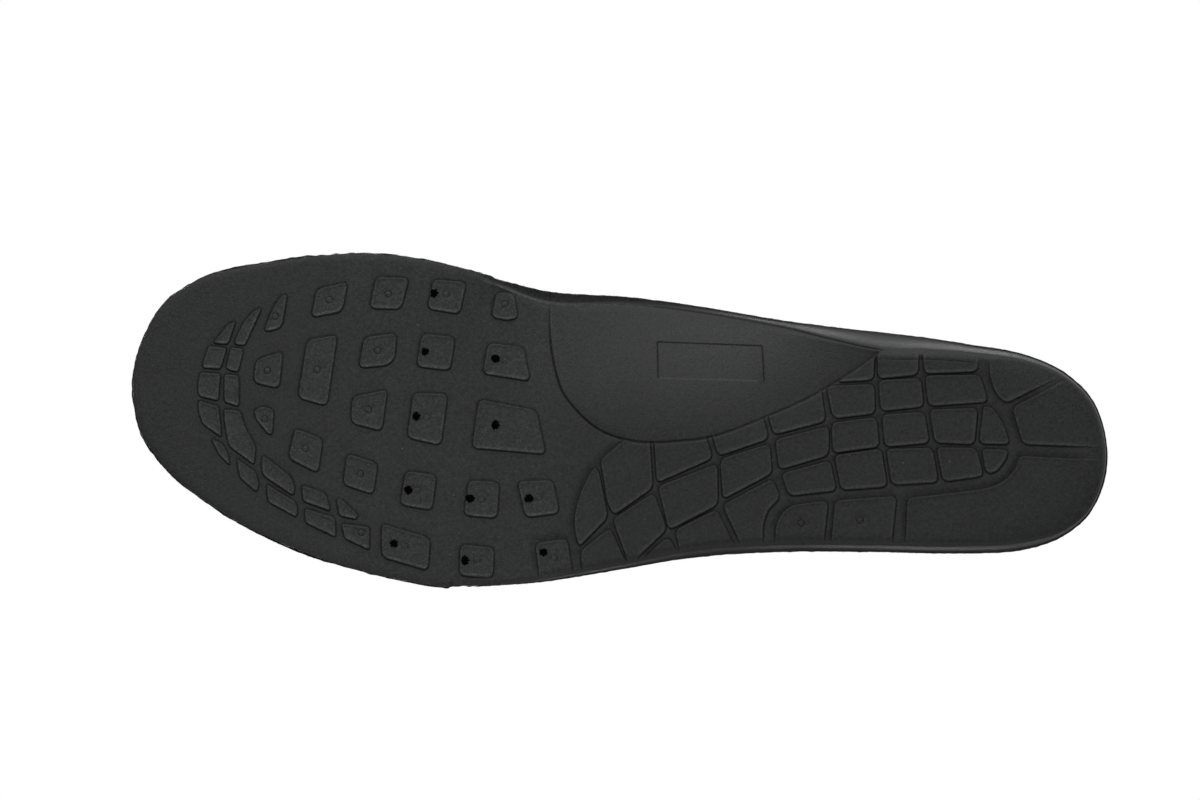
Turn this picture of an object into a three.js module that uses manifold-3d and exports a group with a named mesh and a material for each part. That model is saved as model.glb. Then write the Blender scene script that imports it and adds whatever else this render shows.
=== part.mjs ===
// Cushioned insole for a right shoe: a moulded foam body with a cushioning relief underneath and a bonding
// film over its whole top, both pierced by eleven vent holes, and a knit cloth cover over them.
// Millimetres. +X runs to the toe, +Y to the arch (medial) side, +Z from the sole up to the foot.
import * as THREE from "three";
import { mergeVertices } from "three/addons/utils/BufferGeometryUtils.js";
import Module from "manifold-3d";

const wasm = await Module();
wasm.setup();
const { Manifold, Mesh } = wasm;

// ---- driving dimensions -------------------------------------------------------------------------------
const PAD_HEIGHT = 0.7; // the pads stand this far below the floor of the grooves
const PANEL_DEPTH = 0.5; // the smooth arch panel lies this far above the groove floor
const LABEL_DEPTH = 0.4; // the blank label field, above the arch panel
const FOREFOOT_FOAM = 4.4; // foam from pad bottom to cloth
const HEEL_FOAM = 6.2;
const ARCH_RISE = 13; // underside at the medial edge, above the ground
const ARCH_CENTRE_X = -10;
const ARCH_REACH = 62; // the arch dies out this far each way along X
const ARCH_START_Y = -2;
const TOE_SPRING = 3.5;
const TOE_SPRING_X = 95;
const CUP_WIDTH = 20; // from the rim to the flat of the heel seat
const SOLE_ROUNDING = 3; // from the sole edge to the flat of the sole
const VENT_DIAMETER = 2;
const FILM = { gap: 0.1, thickness: 0.25 };
const COVER = { gap: 0.1, thickness: 0.9 };
const STEPS_PER_SIDE = 40; // stations from toe tip to heel tip, on each side
const SPINE_X = [-112, 100]; // the rings close on a line between these

// Rim stations, toe tip first, round the medial side to the heel tip and back along the lateral side:
// x, y, top of the foam rim, thickness of its edge, width of the flange, width of the wall in plan.
const HEEL_TIP = 20;
const RIM = [
  [141.5, 6.5, 7.5, 3.2, 0.1, 0.2],
  [139.5, 17.5, 7.3, 3.2, 0.1, 0.2],
  [134, 29, 6.7, 3.2, 0.1, 0.2],
  [122, 38, 5.6, 3.4, 0.1, 0.2],
  [105, 43, 4.6, 3.4, 0.1, 0.2],
  [88, 46.3, 4.4, 3.4, 0.1, 0.2],
  [70, 47.5, 4.5, 3.4, 0.1, 0.2],
  [52, 45.4, 5.2, 3.2, 0.1, 0.3],
  [36, 41.8, 8.0, 2.2, 1.0, 0.6],
  [22, 39.4, 12.2, 1.3, 2.2, 0.7],
  [0, 39.3, 16.6, 1.3, 1.0, 0.8],
  [-20, 38, 18.4, 1.3, 0.4, 1.0],
  [-45, 35.3, 18.8, 1.3, 0.3, 1.3],
  [-60, 34.3, 18.6, 1.3, 0.3, 3.0],
  [-75, 33.5, 18, 1.3, 0.3, 4.4],
  [-88, 32.8, 17.8, 1.3, 0.3, 3.2],
  [-100, 31.6, 17.5, 1.3, 0.3, 2.0],
  [-116, 29.7, 17, 1.3, 0.3, 1.4],
  [-128, 25, 16.6, 1.3, 0.3, 0.9],
  [-137, 16.5, 16.5, 1.3, 0.3, 0.8],
  [-141.5, 1, 16.5, 1.3, 0.3, 0.8],
  [-138, -13.8, 16, 1.3, 0.3, 0.9],
  [-130, -22, 15.5, 1.3, 0.3, 1.4],
  [-118, -26.8, 15, 1.3, 0.3, 2.2],
  [-100, -28.8, 14, 1.3, 0.3, 2.0],
  [-75, -29.9, 12.5, 1.3, 0.3, 2.0],
  [-50, -31.4, 11, 1.3, 0.3, 2.1],
  [-25, -34.4, 9.5, 1.3, 0.3, 2.0],
  [0, -40, 8, 1.4, 0.2, 1.1],
  [20, -44.4, 6.5, 1.8, 0.2, 0.8],
  [35, -46.4, 5.4, 2.5, 0.1, 0.5],
  [50, -47.4, 4.6, 3.3, 0.1, 0.2],
  [65, -45.8, 4.4, 3.4, 0.1, 0.2],
  [85, -41.4, 4.4, 3.4, 0.1, 0.2],
  [103, -35.1, 4.5, 3.4, 0.1, 0.2],
  [120, -26.2, 5.5, 3.4, 0.1, 0.2],
  [131, -17.8, 6.5, 3.2, 0.1, 0.2],
  [138, -8.5, 7.2, 3.2, 0.1, 0.2],
];

// Corners of the pads, in groups.
const TOE_PADS = [
  [[118.8, 18.6], [114.2, 18.6], [112.3, 25.6], [114.6, 24.4]],
  [[112.8, 18.8], [109.4, 18.4], [105, 29.9], [107.6, 28.6], [110.4, 25]],
  [[121.6, 11.4], [115.9, 11.3], [114.5, 17.6], [119.9, 17.9]],
  [[114.6, 11.5], [110.8, 10.6], [109.6, 17.6], [113.5, 17.9]],
  [[121.9, 10.1], [115.9, 10.1], [116, 2.1], [121.8, 3.1], [122.4, 6]],
  [[114.9, 10], [110.6, 10], [110, 0.8], [114.5, 1.9]],
  [[122, 2], [115.8, 0.6], [114.4, -8.4], [120.2, -4.9], [121.6, -1.5]],
  [[114.5, -0.1], [109.7, -0.2], [107.8, -5], [104.4, -10.4], [104.6, -15.7], [112.2, -10.8], [113.6, -5.9]],
  [[117.6, -8.7], [114, -10.1], [112.3, -13], [111.5, -16.4], [115, -13.4]],
  [[109.9, -14], [104, -17.6], [102.8, -21], [103.4, -23.6], [108.6, -19.6]],
  [[102.3, -12.6], [94, -18.2], [92.5, -21], [92.7, -24], [101.9, -18.6], [102.7, -15]],
  [[100.7, -20.9], [92.2, -25.4], [91.3, -27], [91.4, -30.1], [100.1, -26]],
  [[90.7, -20.5], [83.4, -22.6], [81.7, -27.7], [89.9, -25.3]],
  [[89.4, -27.2], [80.4, -29.4], [79.7, -35.2], [88.9, -31.4]],
  [[80.4, -23.8], [78.6, -24.2], [73.7, -28.2], [74.2, -29.6], [79.3, -28.9]],
  [[78.6, -30.9], [70.2, -31.5], [69.9, -38.2], [77.3, -35.3]],
];
const FOREFOOT_PADS = [
  [[104.4, 22.6], [99, 24.3], [98, 33.9], [99.8, 33.6], [102, 30]],
  [[90.9, 27.7], [81.9, 30], [80.7, 38.8], [89.7, 36.2]],
  [[74.2, 31.4], [65, 31.7], [63.2, 41], [72.9, 40.7]],
  [[57.6, 32.3], [48, 31.3], [46.6, 40.8], [56.3, 41]],
  [[39, 31], [34, 30.4], [31.1, 31.4], [32.8, 38.3], [37.9, 38.6]],
  [[106, 14.7], [98.2, 17.7], [98.7, 6.7], [106.4, 8]],
  [[93.3, 4.4], [91.6, 21.3], [82.8, 23.4], [84.6, 2.5]],
  [[76.3, 14], [75.2, 23.1], [65.8, 24.9], [65.9, 17.5], [68, 15.3]],
  [[59.7, 15.5], [58.6, 25.2], [48.9, 24.8], [49.7, 14.9]],
  [[40.5, 14.6], [39.4, 23.7], [29, 23.1], [26.5, 13.3]],
  [[105.8, 0], [103.3, 1.5], [99.8, 0.6], [99.9, -6.5], [101.2, -6.6], [105, -2.4]],
  [[77.6, 5.7], [67.4, 8.5], [68.4, -3.8], [77.6, -1.9]],
  [[60.1, 8], [50, 8.2], [51.1, -6.8], [61.1, -5.2]],
  [[41.1, 7.3], [24.2, 5.1], [20.7, -7.5], [42.3, -7]],
  [[93.6, -4.3], [85.1, -6.9], [86, -17], [95, -13.2]],
  [[78.1, -10.7], [68.9, -13], [69.7, -22.2], [78.8, -19.8]],
  [[61, -14.7], [51.8, -15.3], [52.5, -25.7], [62, -24.6]],
  [[42.6, -16.2], [33.6, -16.3], [33.6, -26.8], [43.4, -26.6]],
  [[28.6, -15.8], [18.3, -14.6], [15.7, -24.2], [25.6, -26.1]],
  [[67, -30.2], [52.5, -33.6], [52.6, -43.1], [66.3, -40]],
  [[43.9, -34.9], [33.9, -35.2], [33.8, -44.1], [43.7, -43.9]],
  [[22.4, -33.2], [13.1, -31.3], [10.8, -41.5], [20, -44]],
];
const MIDFOOT_PADS = [
  [[6.6, -10.3], [5.2, -11.3], [1.6, -24.5], [9.7, -33.8], [11.2, -29], [11.6, -24.5], [10.4, -18.5], [8.3, -13]],
  [[5.2, -8.3], [-2.5, -1], [-8.9, -0.5], [-10.8, -15.3], [0.2, -24], [2.5, -20], [4, -12.5]],
  [[-9.9, -0.5], [-24.9, 1.2], [-27.5, -5.7], [-11.6, -14]],
  [[-11.9, -14.7], [-28.9, -7], [-29.8, -19.1], [-15.9, -27.3]],
  [[-29.4, -5.7], [-43.6, -0.3], [-44.9, -9], [-30.9, -17.5]],
  [[-26.4, 1.8], [-41.2, 7.5], [-43.3, 0.8], [-28.9, -5.1]],
  [[-42.2, 8.4], [-57.3, 17], [-59.4, 6.9], [-44.5, 2]],
  [[0.6, -25], [-11, -16.5], [-15.6, -27], [-7.5, -35.5], [-5, -37.5]],
  [[1, -27.3], [9.3, -34.8], [8, -40.5], [-5.3, -38.8]],
  [[-10.7, -33.9], [-15.9, -28.9], [-19, -33], [-13, -36]],
  [[-17.6, -27], [-29.4, -20.2], [-35, -30], [-19.5, -34.5]],
  [[-30.8, -19], [-45, -10.3], [-47.7, -15.9], [-44.3, -19.5], [-43.2, -23.5], [-43.2, -30.5], [-36.3, -30.5]],
  [[-44.9, 0.9], [-60.4, 5.8], [-60.8, -2.9], [-46.6, -8]],
  [[-47.2, -8.8], [-61.3, -4.1], [-63.7, -12.9], [-49.9, -15.3]],
];
const HEEL_PADS = [
  [[-61.5, 18.3], [-72.3, 28.5], [-72.4, 19.6]],
  [[-73, 27.5], [-73.4, 20], [-85.2, 21.9], [-84.9, 28.5]],
  [[-85.9, 28.5], [-86.7, 22.3], [-102.3, 23.9], [-102.2, 28.5]],
  [[-58.6, 17.2], [-72.7, 18.7], [-73.5, 10], [-61.3, 7.7]],
  [[-73.6, 19.8], [-86, 21.2], [-87.4, 12.8], [-74.9, 10.7]],
  [[-86.9, 22], [-103, 23.2], [-105.8, 15.3], [-88.5, 13]],
  [[-60.8, 6.7], [-73.9, 9.2], [-75.3, 0.5], [-61.8, -2.2]],
  [[-75.2, 10], [-87.5, 11.5], [-89.7, 2.5], [-76.7, 0.5]],
  [[-88.8, 12.3], [-102.9, 13.6], [-102.6, 2.8], [-91, 2.6]],
  [[-104.4, 14.3], [-107.3, 13.8], [-110.5, 9.6], [-112.9, 3.5], [-103.7, 3.1]],
  [[-62.2, -2.6], [-75.8, 0.2], [-78.3, -10.9], [-64.8, -12.7]],
  [[-77, 0.2], [-90.6, 1.3], [-92.9, -8.7], [-79.3, -10.3]],
  [[-91.4, 1.5], [-103.2, 2.1], [-105.9, -6.1], [-94.1, -8.5]],
  [[-104.5, 1.9], [-112.4, 2], [-112, -0.8], [-109.6, -4.3], [-107.4, -5.3], [-106, -4.4]],
  [[-46.8, -30.5], [-46.6, -24], [-48, -20.4], [-50.8, -17.8], [-55, -16.9], [-61.5, -15.8], [-60.9, -30]],
  [[-62.8, -29.5], [-63.2, -15.6], [-81.1, -13.2], [-80.5, -29.5]],
  [[-105, 30.5], [-105.6, 23], [-107.2, 18.8], [-109.3, 16.3], [-111.2, 15.4], [-125.5, 23.7], [-121.5, 29]],
  [[-125.5, 22], [-112.6, 14.3], [-116.4, 3.7], [-141, 4.3], [-140.5, 9], [-136, 17.5]],
  [[-84.3, -28.5], [-84, -13.7], [-96.6, -11.4], [-105, -9.9], [-109.2, -8.6], [-112.3, -6.4], [-114.7, -3.4],
    [-115.5, 0.5], [-141, 0.7], [-140, -7], [-136.5, -14.5], [-130, -21], [-118, -25.8], [-100, -28]],
];
const VENTS = [
  [55.8, 36.9], [57.4, 20], [36.9, 19.1], [58.7, 1.3], [35.8, 0.2], [59.7, -20.2],
  [41.8, -21.5], [24.9, -20.4], [63, -35.8], [42.2, -39.5], [19.7, -35.7],
];
// The curved step round the arch panel, toe end to heel end, then the line it keeps from the medial edge.
const PANEL_STEP = [
  [22.4, 35.5], [21.7, 25.7], [17.4, 11], [6.8, 0.6], [-7.8, -2.5], [-24, -0.4], [-42, 7], [-56.2, 14.6],
  [-72.5, 26.8],
];
const PANEL_EDGE = [[-70, 28.8], [-55, 31.5], [-30, 34.3], [-5, 36.3], [15, 36]];
const LABEL = [[-9.3, 27], [-39.7, 27.7], [-40.9, 17.4], [-10.2, 16.4]];

// ---- the two mean surfaces ----------------------------------------------------------------------------
const clamp01 = (v) => Math.min(1, Math.max(0, v));

// Lift of the sole above the ground: the arch on the medial side and the spring of the toe.
function lift(x, y) {
  const along = clamp01(1 - ((x - ARCH_CENTRE_X) / ARCH_REACH) ** 2) ** 2;
  const across = clamp01((y - ARCH_START_Y) / (38.5 - ARCH_START_Y)) ** 2;
  const toe = Math.max(0, (x - TOE_SPRING_X) / (141.5 - TOE_SPRING_X)) ** 2;
  return ARCH_RISE * along * across + TOE_SPRING * toe;
}

// Foam thickness away from the rim, from the forefoot to the thicker heel.
function foamThickness(x) {
  const t = clamp01((20 - x) / 80);
  return FOREFOOT_FOAM + (HEEL_FOAM - FOREFOOT_FOAM) * t * t * (3 - 2 * t);
}

const rimLine = new THREE.CatmullRomCurve3(RIM.map(([x, y, z]) => new THREE.Vector3(x, y, z)), true, "centripetal");
const rimShape = new THREE.CatmullRomCurve3(
  RIM.map(([, , , edge, flange, wall]) => new THREE.Vector3(edge, flange, wall)),
  true,
  "catmullrom",
);

// Stations round the rim: where it is, its cross-section, and the spine point its ring lines run to.
function stations() {
  const turn = HEEL_TIP / RIM.length;
  const list = [];
  for (let i = 0; i < 2 * STEPS_PER_SIDE; i++) {
    const medial = i <= STEPS_PER_SIDE;
    const k = medial ? i : 2 * STEPS_PER_SIDE - i;
    const f = k / STEPS_PER_SIDE;
    const u = medial ? turn * f : 1 - (1 - turn) * f;
    const other = medial ? 1 - (1 - turn) * f : turn * f;
    const rim = rimLine.getPoint(u % 1);
    const shape = rimShape.getPoint(u % 1);
    const spineX = Math.min(SPINE_X[1], Math.max(SPINE_X[0], (rim.x + rimLine.getPoint(other % 1).x) / 2));
    const spine = new THREE.Vector2(spineX, 3 + 0.02 * spineX);
    const reach = Math.hypot(spine.x - rim.x, spine.y - rim.y);
    list.push({ rim, spine, reach, edge: shape.x, flange: Math.max(0.1, shape.y), wall: Math.max(0.2, shape.z) });
  }
  return list;
}
const STATIONS = stations();

// Points of one station's underside: flange, wall, rounding, then the sole with its lift plus `floor`.
function undersideLine(s, floor) {
  const top = s.rim.z - s.edge;
  const in1 = s.flange + s.wall;
  const rows = [
    [0, top, true],
    [s.flange, top, true],
    [in1, 1.3, false],
    [in1 + SOLE_ROUNDING * 0.4, 0.45, false],
    [in1 + SOLE_ROUNDING, 0, false],
    [s.reach * 0.4, 0, false],
    [s.reach * 0.72, 0, false],
    [s.reach, 0, false],
  ];
  const cut = clamp01((s.edge - 1.3) / 2); // 1 where the edge is die-cut square, 0 where a moulded wall stands
  return rows.map(([d, rise, absolute]) => {
    const p = along(s, d);
    const ground = lift(p.x, p.y);
    const over = absolute ? rise - ground : rise * (1 - cut);
    return new THREE.Vector3(p.x, p.y, ground + Math.max(over, floor));
  });
}

// Points of one station's foam top: a cup that falls from the rim to the seat.
function topLine(s, offset) {
  const edgeFloor = lift(s.rim.x, s.rim.y) + foamThickness(s.rim.x);
  const distances = [0, 2.5, 6, 11.5, s.reach * 0.58, s.reach * 0.8, s.reach];
  return distances.map((d) => {
    const p = along(s, d);
    const cup = (s.rim.z - edgeFloor) * clamp01(1 - d / CUP_WIDTH) ** 4;
    return new THREE.Vector3(p.x, p.y, lift(p.x, p.y) + foamThickness(p.x) + cup + offset);
  });
}

function along(s, d) {
  const t = Math.min(1, d / s.reach);
  return new THREE.Vector2(s.rim.x + (s.spine.x - s.rim.x) * t, s.rim.y + (s.spine.y - s.rim.y) * t);
}

// A closed solid between two families of lines that run from the rim to the spine.
function shell(lowerLines, upperLines) {
  const triangles = [];
  const add = (a, b, c) => {
    if (a.distanceTo(b) > 1e-6 && b.distanceTo(c) > 1e-6 && c.distanceTo(a) > 1e-6) {
      triangles.push(a, c, b);
    }
  };
  const count = lowerLines.length;
  for (let i = 0; i < count; i++) {
    const j = (i + 1) % count;
    addStrip(add, upperLines[i], upperLines[j], true);
    addStrip(add, lowerLines[i], lowerLines[j], false);
    add(lowerLines[i][0], upperLines[i][0], upperLines[j][0]);
    add(lowerLines[i][0], upperLines[j][0], lowerLines[j][0]);
  }
  closeSpine(add, upperLines, true);
  closeSpine(add, lowerLines, false);
  const geometry = new THREE.BufferGeometry().setFromPoints(triangles);
  return geometry;
}

function addStrip(add, left, right, up) {
  for (let k = 0; k + 1 < left.length; k++) {
    const [a, b, c, d] = [left[k], left[k + 1], right[k + 1], right[k]];
    if (up) {
      add(a, b, c);
      add(a, c, d);
    } else {
      add(a, c, b);
      add(a, d, c);
    }
  }
}

// Both sides meet on the spine at the same points, so nothing is left open; kept as a check of that.
function closeSpine(add, lines) {
  const last = lines[0].length - 1;
  for (let i = 1; i < STEPS_PER_SIDE; i++) {
    const gap = lines[i][last].distanceTo(lines[lines.length - i][last]);
    if (gap > 1e-6) {
      throw new Error("the two sides of the insole do not meet on the spine");
    }
  }
}

// ---- solids -------------------------------------------------------------------------------------------
function solid(geometry) {
  geometry.deleteAttribute("normal");
  geometry.deleteAttribute("uv");
  const g = mergeVertices(geometry, 1e-4);
  const index = Array.from(g.index.array);
  const keep = [];
  for (let i = 0; i < index.length; i += 3) {
    const [a, b, c] = index.slice(i, i + 3);
    if (a !== b && b !== c && c !== a) {
      keep.push(a, b, c);
    }
  }
  const mesh = new Mesh({
    numProp: 3,
    vertProperties: Float32Array.from(g.attributes.position.array),
    triVerts: Uint32Array.from(keep),
  });
  return new Manifold(mesh);
}

function prism(points, bottom, top) {
  const shape = new THREE.Shape(points.map(([x, y]) => new THREE.Vector2(x, y)));
  const geometry = new THREE.ExtrudeGeometry(shape, { depth: top - bottom, bevelEnabled: false });
  return solid(geometry.translate(0, 0, bottom));
}

// Cuts each corner by up to `size`, never more than 30 % of the shorter side.
function chamfered(points, size) {
  return points.flatMap((p, i) => {
    const before = points[(i + points.length - 1) % points.length];
    const after = points[(i + 1) % points.length];
    return [before, after].map((q) => {
      const side = Math.hypot(q[0] - p[0], q[1] - p[1]);
      const t = Math.min(size, side * 0.3) / side;
      return [p[0] + (q[0] - p[0]) * t, p[1] + (q[1] - p[1]) * t];
    });
  });
}

function panelOutline() {
  const step = new THREE.SplineCurve(PANEL_STEP.map(([x, y]) => new THREE.Vector2(x, y)));
  return [...step.getPoints(22).map((p) => [p.x, p.y]), ...PANEL_EDGE];
}

function ventPins() {
  const pins = VENTS.map(([x, y]) => {
    const pin = new THREE.CylinderGeometry(VENT_DIAMETER / 2, VENT_DIAMETER / 2, 60, 10);
    return solid(pin.rotateX(Math.PI / 2).translate(x, y, 0));
  });
  return Manifold.union(pins);
}

function foamBody(vents) {
  const top = STATIONS.map((s) => topLine(s, 0));
  const envelope = solid(shell(STATIONS.map((s) => undersideLine(s, 0)), top));
  const grooved = solid(shell(STATIONS.map((s) => undersideLine(s, PAD_HEIGHT)), top));
  const outlines = [...TOE_PADS, ...FOREFOOT_PADS, ...MIDFOOT_PADS, ...HEEL_PADS];
  const pads = Manifold.union(outlines.map((points) => prism(chamfered(points, 1), -1, 3)));
  const padded = grooved.add(pads.intersect(envelope));
  const recess = (points, depth) => prism(points, -2, 40).subtract(envelope.translate([0, 0, depth]));
  const panel = recess(panelOutline(), PAD_HEIGHT + PANEL_DEPTH);
  const label = recess(LABEL, PAD_HEIGHT + PANEL_DEPTH + LABEL_DEPTH);
  return padded.subtract(panel).subtract(label).subtract(vents);
}

// A layer of even height laid over the foam top.
function layer(offset, thickness) {
  const lower = STATIONS.map((s) => topLine(s, offset));
  const upper = STATIONS.map((s) => topLine(s, offset + thickness));
  return solid(shell(lower, upper));
}

function meshFrom(name, body, material) {
  const data = body.getMesh();
  const geometry = new THREE.BufferGeometry();
  geometry.setAttribute("position", new THREE.BufferAttribute(Float32Array.from(data.vertProperties), 3));
  geometry.setIndex(Array.from(data.triVerts));
  geometry.computeVertexNormals();
  const mesh = new THREE.Mesh(geometry, new THREE.MeshStandardMaterial(material));
  mesh.name = name;
  return mesh;
}

function insole() {
  const vents = ventPins();
  const filmTop = FILM.gap + FILM.thickness;
  const parts = [
    meshFrom("foam_body", foamBody(vents), { color: 0x2f3131, roughness: 0.9, metalness: 0 }),
    meshFrom("adhesive_film", layer(FILM.gap, FILM.thickness).subtract(vents), {
      color: 0xb9b3a2,
      roughness: 0.5,
      metalness: 0,
    }),
    meshFrom("top_cover", layer(filmTop + COVER.gap, COVER.thickness), {
      color: 0x17181a,
      roughness: 0.95,
      metalness: 0,
    }),
  ];
  const group = new THREE.Group();
  group.name = "cushioned_insole";
  group.add(...parts);
  const box = new THREE.Box3().setFromObject(group);
  group.children.forEach((mesh) => {
    mesh.geometry.translate(-(box.min.x + box.max.x) / 2, -(box.min.y + box.max.y) / 2, -box.min.z);
  });
  return group;
}

export default insole();
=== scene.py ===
"""Cushioned insole: moulded foam body, bonding film, knit cloth cover and the fibres of its cut edge.

Row frame: +X to the toe, +Y to the arch (medial) side, +Z from the sole up to the foot. Tables below are in
millimetres and are turned into metres where a mesh is made.
"""

import math

import bpy
import numpy as np
from mathutils import Matrix, Vector
from mathutils.geometry import delaunay_2d_cdt


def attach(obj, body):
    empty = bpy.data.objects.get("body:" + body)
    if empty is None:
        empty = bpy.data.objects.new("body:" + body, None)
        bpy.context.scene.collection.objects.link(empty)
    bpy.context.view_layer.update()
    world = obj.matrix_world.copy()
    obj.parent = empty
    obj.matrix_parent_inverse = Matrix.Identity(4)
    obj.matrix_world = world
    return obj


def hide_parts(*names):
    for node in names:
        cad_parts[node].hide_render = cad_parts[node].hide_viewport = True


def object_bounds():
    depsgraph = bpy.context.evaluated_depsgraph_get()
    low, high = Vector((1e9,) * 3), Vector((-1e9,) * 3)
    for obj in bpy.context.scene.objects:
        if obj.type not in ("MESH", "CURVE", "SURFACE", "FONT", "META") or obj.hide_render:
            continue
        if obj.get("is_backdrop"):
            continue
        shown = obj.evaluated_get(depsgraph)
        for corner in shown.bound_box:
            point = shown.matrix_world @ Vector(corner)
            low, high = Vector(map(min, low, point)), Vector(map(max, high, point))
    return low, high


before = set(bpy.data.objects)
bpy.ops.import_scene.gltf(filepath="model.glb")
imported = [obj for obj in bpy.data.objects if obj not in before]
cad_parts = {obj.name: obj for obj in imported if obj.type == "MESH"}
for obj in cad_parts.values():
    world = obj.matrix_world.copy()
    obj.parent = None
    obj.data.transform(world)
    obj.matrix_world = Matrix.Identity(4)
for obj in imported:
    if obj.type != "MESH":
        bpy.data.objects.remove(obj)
CAD_LOW, CAD_HIGH = (np.array(corner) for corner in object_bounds())

bl_info = {
    "name": "Cushioned insole",
    "version": (1, 0, 0),
    "blender": (4, 5, 0),
    "location": "View3D > Sidebar > Insole",
    "description": "Builds a moulded foam insole with its cloth cover around its packed CAD part",
    "category": "Object",
}

MM = 0.001

# ---- shape tables, the same as the CAD part's ----

# Rim stations, toe tip first, round the medial side to the heel tip and back along the lateral side:
# x, y, top of the foam rim, thickness of its edge, width of the flange, width of the wall in plan.
RIM = np.array([
    (141.5, 6.5, 7.5, 3.2, 0.1, 0.2),
    (139.5, 17.5, 7.3, 3.2, 0.1, 0.2),
    (134, 29, 6.7, 3.2, 0.1, 0.2),
    (122, 38, 5.6, 3.4, 0.1, 0.2),
    (105, 43, 4.6, 3.4, 0.1, 0.2),
    (88, 46.3, 4.4, 3.4, 0.1, 0.2),
    (70, 47.5, 4.5, 3.4, 0.1, 0.2),
    (52, 45.4, 5.2, 3.2, 0.1, 0.3),
    (36, 41.8, 8.0, 2.2, 1.0, 0.6),
    (22, 39.4, 12.2, 1.3, 2.2, 0.7),
    (0, 39.3, 16.6, 1.3, 1.0, 0.8),
    (-20, 38, 18.4, 1.3, 0.4, 1.0),
    (-45, 35.3, 18.8, 1.3, 0.3, 1.3),
    (-60, 34.3, 18.6, 1.3, 0.3, 3.0),
    (-75, 33.5, 18, 1.3, 0.3, 4.4),
    (-88, 32.8, 17.8, 1.3, 0.3, 3.2),
    (-100, 31.6, 17.5, 1.3, 0.3, 2.0),
    (-116, 29.7, 17, 1.3, 0.3, 1.4),
    (-128, 25, 16.6, 1.3, 0.3, 0.9),
    (-137, 16.5, 16.5, 1.3, 0.3, 0.8),
    (-141.5, 1, 16.5, 1.3, 0.3, 0.8),
    (-138, -13.8, 16, 1.3, 0.3, 0.9),
    (-130, -22, 15.5, 1.3, 0.3, 1.4),
    (-118, -26.8, 15, 1.3, 0.3, 2.2),
    (-100, -28.8, 14, 1.3, 0.3, 2.0),
    (-75, -29.9, 12.5, 1.3, 0.3, 2.0),
    (-50, -31.4, 11, 1.3, 0.3, 2.1),
    (-25, -34.4, 9.5, 1.3, 0.3, 2.0),
    (0, -40, 8, 1.4, 0.2, 1.1),
    (20, -44.4, 6.5, 1.8, 0.2, 0.8),
    (35, -46.4, 5.4, 2.5, 0.1, 0.5),
    (50, -47.4, 4.6, 3.3, 0.1, 0.2),
    (65, -45.8, 4.4, 3.4, 0.1, 0.2),
    (85, -41.4, 4.4, 3.4, 0.1, 0.2),
    (103, -35.1, 4.5, 3.4, 0.1, 0.2),
    (120, -26.2, 5.5, 3.4, 0.1, 0.2),
    (131, -17.8, 6.5, 3.2, 0.1, 0.2),
    (138, -8.5, 7.2, 3.2, 0.1, 0.2),
], float)

TOE_PADS = [
    [(118.8, 18.6), (114.2, 18.6), (112.3, 25.6), (114.6, 24.4)],
    [(112.8, 18.8), (109.4, 18.4), (105, 29.9), (107.6, 28.6), (110.4, 25)],
    [(121.6, 11.4), (115.9, 11.3), (114.5, 17.6), (119.9, 17.9)],
    [(114.6, 11.5), (110.8, 10.6), (109.6, 17.6), (113.5, 17.9)],
    [(121.9, 10.1), (115.9, 10.1), (116, 2.1), (121.8, 3.1), (122.4, 6)],
    [(114.9, 10), (110.6, 10), (110, 0.8), (114.5, 1.9)],
    [(122, 2), (115.8, 0.6), (114.4, -8.4), (120.2, -4.9), (121.6, -1.5)],
    [(114.5, -0.1), (109.7, -0.2), (107.8, -5), (104.4, -10.4), (104.6, -15.7), (112.2, -10.8),
     (113.6, -5.9)],
    [(117.6, -8.7), (114, -10.1), (112.3, -13), (111.5, -16.4), (115, -13.4)],
    [(109.9, -14), (104, -17.6), (102.8, -21), (103.4, -23.6), (108.6, -19.6)],
    [(102.3, -12.6), (94, -18.2), (92.5, -21), (92.7, -24), (101.9, -18.6), (102.7, -15)],
    [(100.7, -20.9), (92.2, -25.4), (91.3, -27), (91.4, -30.1), (100.1, -26)],
    [(90.7, -20.5), (83.4, -22.6), (81.7, -27.7), (89.9, -25.3)],
    [(89.4, -27.2), (80.4, -29.4), (79.7, -35.2), (88.9, -31.4)],
    [(80.4, -23.8), (78.6, -24.2), (73.7, -28.2), (74.2, -29.6), (79.3, -28.9)],
    [(78.6, -30.9), (70.2, -31.5), (69.9, -38.2), (77.3, -35.3)],
]
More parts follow.
